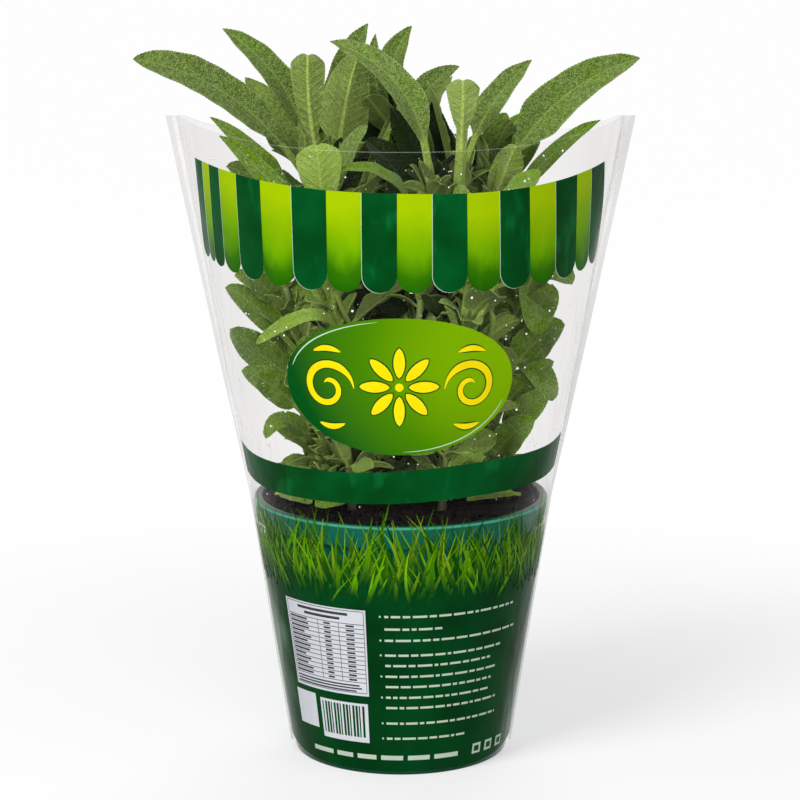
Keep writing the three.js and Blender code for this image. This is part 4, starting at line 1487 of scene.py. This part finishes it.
# %% Long leaves, one by one
# Stem, height of the root, knee, tip, width, the way the upper face looks
LONG_LEAVES = [
    ("01", 268, (-70, -17, 323.5), (-121, -30, 332), 16.5, (-0.05, -0.87, 0.5)),
    ("01", 274, (-44, 9, 318), (-83, 12, 343), 14.5, TO_LEFT),
    ("01", 262, (-54, 8, 300), (-73, 14, 320), 17, UP_LEFT),
    ("01", 256, (-70, -14, 292), (-87, -22, 305), 9, UP_LEFT),
    ("02", 262, (-44, -26, 292), (-42, -30, 334), 15.5, BACKWARD),
    ("02", 268, (-30, -6, 302), (-18.5, 2, 335), 24, BACKWARD),
    ("03", 258, (18, -44, 325), (-32, -30, 340), 15, ARCHING),
    ("03", 252, (-4, -56, 292), (-29, -57, 284), 9, UP_FRONT),
    ("04", 258, (28, -42, 290), (28, -38, 324), 15, BACKWARD),
    ("04", 264, (31, -14, 306), (60, -10, 330), 13, TO_FRONT),
    ("05", 258, (56, -27, 317), (108, -30, 332.5), 20, (0.15, -0.87, 0.45)),
    ("05", 250, (70, -4, 292), (93, 4, 301), 8, UP_RIGHT),
    ("06", 262, (-36, 30, 312), (-15.6, 32, 344), 17, TO_FRONT),
    ("06", 254, (-50, 46, 298), (-66, 50, 312), 14, UP_BACK),
    ("07", 282, (-14, 34, 318), (5, 36, 342.5), 15, TO_FRONT),
    ("07", 276, (-15, 18, 313), (-12, 18, 340), 10, TO_FRONT),
    ("07", 270, (0, 8, 314), (27, 5, 326), 15, TO_FRONT),
    ("08", 262, (44, 28, 290), (50, 30, 302), 13, TO_FRONT),
    ("08", 254, (60, 14, 280), (65, 18, 296), 9, TO_FRONT),
    ("08", 258, (52, 50, 292), (66, 54, 302), 14, UP_BACK),
    ("09", 244, (-64, -40, 288), (-82, -38, 298), 10, UP_LEFT),
    ("09", 240, (-34, -62, 270), (-37.5, -61, 297), 20, BACKWARD),
    ("09", 200, (-29, -58, 234), (-66, -46, 204), 7, (-0.3, -0.8, 0.5)),
    ("11", 188, (-70, -4, 220), (-82, -8, 224), 13, UP_LEFT),
    ("11", 208, (-66, -10, 230), (-77, -15, 231), 12, UP_LEFT),
    ("11", 172, (-68, -10, 194), (-79, -18, 206), 16, UP_LEFT),
    ("11", 156, (-60, -14, 182), (-74, -22, 187), 14, UP_LEFT),
    ("11", 144, (-56, -22, 174), (-63, -27, 156), 10, UP_LEFT),
    ("12", 200, (66, -20, 216), (70, -26, 228), 16, UP_RIGHT),
    ("12", 176, (64, -12, 204), (76, -18, 208), 18, UP_RIGHT),
    ("12", 160, (62, -16, 186), (71, -19, 191), 12, UP_RIGHT),
    ("12", 146, (58, -18, 168), (69, -20, 177), 14, UP_RIGHT),
    ("12", 136, (50, -22, 158), (62, -28, 165), 15, UP_RIGHT),
]
print("long leaves:", len(LONG_LEAVES))

# %% What some long leaves have of their own
# The stalk's share of the length and how stout it is, the skew, fullness and taper of the outline, a
# tip that curls back, and how pale and how young the leaf is
OWN = {
    ("01", 268): {"stalk": 0.22, "bow": (1.08, 0.44, 0)},
    ("01", 274): {"stalk": 0.25},
    ("01", 262): {"pale": 0.8, "young": 0.5},
    ("01", 256): {"pale": 1.0, "young": 0.5},
    ("02", 262): {"stoutness": 1.5, "curled": True, "pale": 0.1},
    ("02", 268): {"stoutness": 1.6, "pale": 0.1},
    ("03", 258): {"stalk": 0.36, "stoutness": 1.35, "pale": 0.8},
    ("04", 258): {"stalk": 0.48, "stoutness": 1.9, "curled": True, "pale": 1.0},
    ("04", 264): {"stalk": 0.42},
    ("05", 258): {"stalk": 0.33, "stoutness": 1.25},
    ("09", 240): {"curled": True, "pale": 1.0, "young": 0.9},
    ("09", 200): {"pale": 1.0, "young": 1.3},
}
print("long leaves with something of their own:", len(OWN))

# %% [markdown]
# Between the long leaves the plant is dense. A rule leaves gaps here and there that the real plant
# doesn't have, so some more leaves are listed: those that fill the top and the sides, and a few on
# long stalks that rise in front of the others. Many of those that fill the gaps are darkened, a
# painted shade for the depth among the leaves.

# %% Filling leaves and stalked leaves
# Stem, height of the root, knee, tip, width, the way the upper face looks, paleness, youth (below 0 a
# painted shade)
FILLING_LEAVES = [
    ("07", 262, (-10, 25, 296), (-11.6, 30, 321), 15, TO_FRONT, 0.2, -1.3),
    ("07", 258, (-4, 24, 292), (-2.5, 30, 314), 14, TO_FRONT, 0.2, -1.3),
    ("07", 264, (9, 24, 296), (5, 30, 314), 13, TO_FRONT, 0.2, -1.3),
    ("04", 254, (22, 2, 290), (14, 8, 310), 12, TO_FRONT, 0.2, -1.3),
    ("08", 256, (42, 28, 282), (53, 36, 297), 13, TO_FRONT, 0.3, -0.3),
    ("08", 252, (52, 28, 278), (66, 30, 290), 13, TO_FRONT, 0.5, 0),
    ("05", 262, (42, 2, 292), (51.5, 8, 300.6), 14, TO_FRONT, 0.3, -0.5),
    ("04", 258, (26, 2, 290), (16, 5, 301), 10, TO_FRONT, 0.1, -0.5),
    ("02", 232, (-20, -13, 272), (-2, -10, 308), 7, TO_LEFT, 1.0, 0.1),
    ("04", 250, (12, -26, 284), (-5, -16, 309), 15, TO_FRONT, 0.1, -1.3),
    ("07", 246, (-8, 28, 262), (-14, 34, 290), 17, TO_FRONT, 0.2, -0.7),
    ("07", 250, (4, 28, 264), (2, 34, 292), 16, TO_FRONT, 0.2, -0.7),
    ("06", 258, (-20, 28, 285), (-17, 32, 306), 16, TO_FRONT, 0.3, -1.3),
    ("06", 250, (-36, 26, 285), (-35, 26, 306), 14, TO_FRONT, 0.2, -0.4),
    ("11", 176, (-50, 10, 190), (-58, 14, 206), 19, UP_LEFT, 0.2, -0.2),
    ("11", 196, (-50, 8, 206), (-60, 10, 222), 15, UP_LEFT, 0.4, 0),
    ("12", 200, (52, 8, 214), (46, 10, 228), 17, UP_RIGHT, 0.3, -0.3),
    ("12", 226, (64, -16, 234), (63, -22, 204), 17, UP_RIGHT, 0.9, 0),
    ("12", 186, (62, -14, 196), (71, -18, 172), 13, UP_RIGHT, 0.8, 0.2),
    ("12", 222, (70, -4, 238), (80, -10, 226), 12, UP_RIGHT, 0.9, 0.1),
    ("01", 256, (-62, -8, 276), (-80, -18, 282), 13, UP_LEFT, 0.9, 0.2),
]
# Stem, height of the root, knee, tip, width
STALKED_LEAVES = [
    ("09", 210, (-38, -46, 222), (-53, -50, 266), 12),
    ("09", 213, (-31, -47, 226), (-27, -56, 268), 12),
    ("02", 203, (-25, -52, 212), (-37, -54, 258), 11),
    ("10", 206, (26, -47, 216), (37, -56, 264), 12),
    ("10", 201, (35, -52, 214), (55, -58, 266), 13),
    ("05", 196, (50, -48, 206), (35, -54, 246), 7),
]


def rows_of(table, name):
    return [row[1:] for row in table if row[0] == name]


print("filling leaves:", len(FILLING_LEAVES), "and stalked leaves:", len(STALKED_LEAVES))

# %% [markdown]
# All other leaves of the plain model follow a seeded rule: opposite pairs, each a quarter turn from the
# pair above. The plain model kept the first draw that was clear of everything. So the same draws are
# made here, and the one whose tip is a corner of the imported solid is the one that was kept.

# %% A leaf that springs from its stem
def sprung_leaf(root, turn, pitch, reach, sag, roll, face, width, stalk):
    """A leaf that springs from root. face says how far its upper face looks back to the stem and up."""
    out = np.array([math.cos(turn), math.sin(turn), 0])
    tip = root + out * reach * math.cos(pitch) + np.array([0, 0, reach * math.sin(pitch)])
    knee = mix(root, tip, 0.5) + np.array([0, 0, reach * sag])
    back, up = face
    looks = (-back * out[0] - roll * out[1], -back * out[1] + roll * out[0], up)
    return leaf_of(root, knee, tip, width, looks, stalk=stalk)


def draw_leaf(base, top, z, angle, draw, random):
    share = (z - RISE_START) / (top[2] - RISE_START)
    size = 1 - 0.028 * draw
    turn = angle + (random() - 0.5) * 1.5
    reach = mix(27, 50, share**1.3) * mix(0.85, 1.15, random()) * size
    pitch = mix(0.4, 1.0, share) + (random() - 0.5) * 0.7
    sag = mix(0.05, 0.28, random())
    width = mix(12, 15, share) * mix(0.85, 1.2, random()) * size
    roll = (random() - 0.5) * 2.4
    return sprung_leaf(stem_point(base, top, z), turn, pitch, reach, sag, roll, (0.6, 0.7), width, 0.28)


drawn = draw_leaf(*STEMS[0][1:], 200, 0, 0, seeded_random(1))
print("a leaf drawn for stem 01 at 200 mm ends at", drawn["tip"].round(1))

# %% Seeded leaves of the plain model
SEED = 20
DRAWS = 22
NODE_SPACING = 12.6
FIRST_NODE = 3
SAME_POINT = 0.02


def stem_nodes(index, top):
    """Height and angle of each place where a seeded leaf grows, from the top down."""
    first = top[2] - FIRST_NODE
    nodes = math.floor((first - RISE_START - 8) / NODE_SPACING)
    for k in range(nodes + 1):
        for side in (0, math.pi):
            yield first - k * NODE_SPACING, index * 0.8 + k * math.pi / 2 + side


def kept_leaves(index, base, top, corners):
    random = seeded_random(SEED + index)
    kept = []
    for z, angle in stem_nodes(index, top):
        for draw in range(DRAWS):
            leaf = draw_leaf(base, top, z, angle, draw, random)
            if np.linalg.norm(corners - leaf["tip"], axis=1).min() < SAME_POINT:
                kept.append(leaf)
                break
    return kept


print("stem 01 has places for", len(list(stem_nodes(0, STEMS[0][2]))), "seeded leaves")


# %% [markdown]
# A living plant is denser than a plain model can be. In the angle between each leaf and the stem a
# shoot of small young leaves grows, and each stem ends in a tuft of them. They are added here, small
# enough to stay among the others, and any that would touch the film or the soil is left out.

# %% How deep in the plant a leaf lies
def inside_sleeve(point, room=4.0):
    wide, deep = sleeve_radii(np.array(point[2]))
    return (point[0] / (wide - room)) ** 2 + (point[1] / (deep - room)) ** 2 < 1


def inside_share(leaf):
    """1 for a leaf deep inside the plant, which is darkened there as a painted shade, and 0 near the film or
    the top.
    """
    x, y, z = mix(leaf["root"], leaf["tip"], 0.6)
    wide, deep = sleeve_radii(np.array(z))
    near_top = smooth(z, 278, 300)
    return float(1 - smooth(math.hypot(x / wide, y / deep), 0.3, 0.62)) * float(1 - near_top)


print("the leaf drawn for stem 01 is", round(inside_share(drawn), 2), "inside, where 1 is deep inside")

# %% Young leaves
YOUNG_PER_NODE = 4
LOW_LEAVES = 9
TUFT = 7
GOLDEN_TURN = 2.4


def young_leaf(root, turn, pitch, reach, random):
    sag = mix(0.02, 0.25, random())
    roll = (random() - 0.5) * 2.0
    width = reach * mix(0.3, 0.46, random())
    return sprung_leaf(root, turn, pitch, reach, sag, roll, (0.7, 0.6), width, 0.2)


def young_leaves(index, base, top):
    random = seeded_random(400 + index)
    made = []
    for z, angle in stem_nodes(index, top):
        share = (z - RISE_START) / (top[2] - RISE_START)
        for _ in range(YOUNG_PER_NODE):
            root = stem_point(base, top, z + (random() - 0.3) * 5)
            turn = angle + (random() - 0.5) * 2.6
            reach = mix(13, 29, random()) * mix(1.0, 0.85, share)
            made.append(young_leaf(root, turn, mix(0.1, 1.25, random()), reach, random))
    for k in range(LOW_LEAVES):
        root = stem_point(base, top, RISE_START + mix(1, 20, random()))
        pitch, reach = mix(0.05, 0.8, random()), mix(14, 30, random())
        made.append(young_leaf(root, k * GOLDEN_TURN + index, pitch, reach, random))
    for k in range(TUFT):
        root = stem_point(base, top, top[2] - 1 - 1.5 * (k // 3))
        pitch, reach = mix(0.8, 1.4, random()), mix(12, 24, random())
        made.append(young_leaf(root, k * GOLDEN_TURN + index, pitch, reach, random))
    ground = RISE_START + 1
    return [leaf for leaf in made if inside_sleeve(leaf["tip"]) and leaf["tip"][2] > ground]


print("stem 01 gets", len(young_leaves(0, *STEMS[0][1:])), "young leaves")

# %% Stem of changing thickness
STEM_BASE_RADIUS, STEM_TOP_RADIUS = 1.9, 1.1


def tube(batch, centres, radius, sides):
    """A closed tube with four soft edges, round the given centres from the bottom up."""
    angles = ring_angles(sides)
    square = radius[:, None] * (1 + 0.07 * np.cos(4 * angles))
    rings = centres[:, None] + as_vectors(square * np.cos(angles), square * np.sin(angles), 0)
    faces = grid_faces(len(centres), sides, closed=True)
    last = (len(centres) - 1) * sides
    faces.append(list(range(sides))[::-1])
    faces.append(list(range(last, last + sides)))
    zero = (0, 0, 0)
    batch.add(rings, faces, stem_finish, leaf_place=zero, leaf_form=zero, leaf_tone=zero)


def stem_tube(batch, base, top):
    """A stem with a swelling at each pair of leaves."""
    levels = np.linspace(STEM_FOOT, top[2], 70)
    swell = (levels - (top[2] - FIRST_NODE)) / NODE_SPACING
    swell = 1 + 0.16 * np.exp(-((swell - np.round(swell)) * NODE_SPACING / 1.6) ** 2)
    thin = mix(STEM_BASE_RADIUS, STEM_TOP_RADIUS, (levels - STEM_FOOT) / (top[2] - STEM_FOOT))
    tube(batch, np.array([stem_point(base, top, z) for z in levels]), thin * swell, 12)


print("a stem is", 2 * STEM_BASE_RADIUS, "mm thick at its foot and", 2 * STEM_TOP_RADIUS, "at its top")

# %% [markdown]
# Round the foot of each stem, side shoots come up through the peat. Each is a short twig that opens
# into a star of small, light leaves. They fill the space above the soil, and none stands in front.
# The same cell says how fine each kind of leaf's mesh is: fine where the eye comes near, and coarse
# inside the plant, where it would only cost time.

# %% Low side shoots
# How many mm a leaf's rows are apart, and how many faces lie on each side of its rib
TOP_GRID, SIDE_GRID, FILLING_GRID, STALKED_GRID = (0.8, 6), (1.1, 6), (1.0, 5), (1.0, 4)
SEEDED_GRID, SHOOT_GRID, YOUNG_GRID, FALLEN_GRID = (1.2, 4), (1.5, 2), (1.7, 2), (0.8, 5)
SHOOTS = 6
SHOOT_LEAVES = 8


def low_shoot(batch, base, random):
    turn, away = random() * 2 * math.pi, mix(5, 15, random())
    x, y = base[0] + away * math.cos(turn), base[1] + away * math.sin(turn)
    y = max(y, mix(-8, 6, random()))
    pull = min(1.0, (SOIL_RIM - 9) / math.hypot(x, y))
    foot = np.array([x * pull, y * pull, SOIL_LEVEL - 3])
    top = foot + np.array([mix(-3, 3, random()), mix(-9, 1, random()), mix(14, 34, random())])
    tube(batch, mix(foot, top, np.linspace(0, 1, 8)[:, None]), np.linspace(0.9, 0.6, 8), 8)
    for k in range(SHOOT_LEAVES):
        root = mix(foot, top, 1 - 0.06 * (k // 2))
        pitch = mix(1.2, 0.0, k / SHOOT_LEAVES) + (random() - 0.5) * 0.3
        leaf = young_leaf(root, turn + k * GOLDEN_TURN, pitch, mix(8, 15, random()), random)
        leaf["width"] = leaf["width"] * 1.15
        tone, hue = mix(0.5, 1.0, random()), mix(0.3, 1.0, random())
        # A youth of 1.7 makes these leaves much lighter: partly the paler green of young leaves, partly
        # painted light, as they stand in the shade of the plant.
        fine_leaf(batch, leaf, SHOOT_GRID, tone, hue, 1.7)


print("low shoots for all stems:", SHOOTS * len(STEMS))

# %% [markdown]
# Now each stem is put together from its tube, its listed leaves, the plain model's seeded leaves, the
# young leaves and the side shoots. They could be pieces of their own, but as one mesh they stand for
# the stem's one plain solid. Each leaf has its own tone and hue, and those deep inside are darkened
# as a painted shade.

# %% Listed leaves of a stem
MOUTH = SLEEVE_TOP + CORNER_RISE
UPPER_PART = 250


def add_listed(plant, name, base, top, random):
    """Adds the leaves of the three tables and says how many there are."""
    for height, knee, tip, width, face in rows_of(LONG_LEAVES, name):
        own = {"stoutness": 1.1} | OWN.get((name, height), {})
        leaf = leaf_of(stem_point(base, top, height), knee, tip, width, face, **own)
        tone = own.get("pale", mix(0.3, 0.7, random()))
        hue = mix(0.1, 0.4, random()) if tip[2] > MOUTH else 1.0
        grid = TOP_GRID if tip[2] > UPPER_PART else SIDE_GRID
        fine_leaf(plant, leaf, grid, tone, hue, own.get("young", 0))
    for height, knee, tip, width, face, tone, youth_and_shade in rows_of(FILLING_LEAVES, name):
        leaf = leaf_of(stem_point(base, top, height), knee, tip, width, face)
        fine_leaf(plant, leaf, FILLING_GRID, tone, 0.4 if tip[2] > UPPER_PART else 0.9, youth_and_shade)
    for height, knee, tip, width in rows_of(STALKED_LEAVES, name):
        root = stem_point(base, top, height)
        leaf = leaf_of(root, knee, tip, width, UP_FRONT, stalk=0.6, stoutness=1.15)
        fine_leaf(plant, leaf, STALKED_GRID, 0.8, 0.8, 0.2)
    return sum(len(rows_of(table, name)) for table in (LONG_LEAVES, FILLING_LEAVES, STALKED_LEAVES))


print("listed leaves:", len(LONG_LEAVES) + len(FILLING_LEAVES) + len(STALKED_LEAVES))

# %% Leafy stems
total = 0
for index, (name, base, top) in enumerate(STEMS):
    node = "sage_stem_" + name
    corners = np.array([v.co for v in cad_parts[node].data.vertices]) / MM
    random = seeded_random(900 + index)
    plant = Batch()
    stem_tube(plant, base, top)
    listed = add_listed(plant, name, base, top, random)
    kept = kept_leaves(index, base, top, corners)
    for leaf in kept:
        tone, hue = mix(0.1, 1.0, random()), mix(0.2, 1.0, random())
        # Leaves deep inside are darkened by their inside share: a painted shade.
        youth_and_shade = (tone - 0.4) * 0.9 - inside_share(leaf) * mix(0.3, 1.6, random())
        fine_leaf(plant, leaf, SEEDED_GRID, tone, hue, youth_and_shade)
    small = young_leaves(index, base, top)
    for leaf in small:
        # Young leaves deep inside are darkened the same way, a painted shade.
        tone, hue, youth_and_shade = mix(0.0, 1.0, random()), mix(0.1, 1.0, random()), mix(0.0, 1.7, random())
        fine_leaf(plant, leaf, YOUNG_GRID, tone, hue, youth_and_shade - inside_share(leaf) * mix(0.4, 3.0, random()))
    for _ in range(SHOOTS):
        low_shoot(plant, base, random)
    total += listed + len(kept) + len(small) + SHOOTS * SHOOT_LEAVES
    print(node, "listed", listed, "seeded", len(kept), "young", len(small))
    plant.make("leafy_stem_" + name, "sage_leaf", [node])
print("leaves:", total)

# %% [markdown]
# Two loose leaves lie on the peat near the wall, where the grower's hands brushed them off.

# %% Fallen leaves
# Root, knee, tip, the way the upper face looks, and the width
FALLEN = [
    ((-60, 1, 123.2), (-51, -6, 126), (-42, -18, 122.8), (-0.2, -0.5, 0.8), 8.5),
    ((57, -4, 124), (45, -7, 127), (31, -14, 123.5), (0.1, -0.6, 0.8), 6.5),
]
litter = Batch()
for number, (root, knee, tip, face, width) in enumerate(FALLEN):
    leaf = leaf_of(root, knee, tip, width, face, stalk=0.12)
    fine_leaf(litter, leaf, FALLEN_GRID, 0.6, 0.7, 0.6, 31 + number)
litter.make("fallen_leaves", "sage_leaf")

# %% [markdown]
# The plant breathes moist air, and tiny drops of it settle on the inner side of the film. Each is a
# flattened ball that bulges inwards. From a step away they are only specks of light.

# %% Droplets
DROPLETS = 340
DROP_INSET = 0.35

droplet_finish, start = new_finish("water_specks")
# The drops are near white, a painted sparkle: clear water would only show its glints.
sparkle_white = blend(in_mm(start).clouds(2, 1), (0.9, 0.92, 0.9, 1), (1, 1, 1, 1))
show(solid(start, sparkle_white, 0.1, specular=0.5, more={"IOR": 1.5}))

droplets = Batch()
random = seeded_random(77)
for _ in range(DROPLETS):
    around, z = mix(-84, 84, random()), mix(128, 294, random() ** 0.8)
    radius = mix(0.2, 0.72, random() ** 3)
    middle = film_point(around, z, -DROP_INSET)
    inwards = middle - film_point(around, z)
    inwards = inwards / np.linalg.norm(inwards)
    flat = ball - 0.5 * (ball @ inwards)[:, None] * inwards
    droplets.add(middle + flat * radius, ball_faces, droplet_finish)
droplets.make("film_droplets", "film")
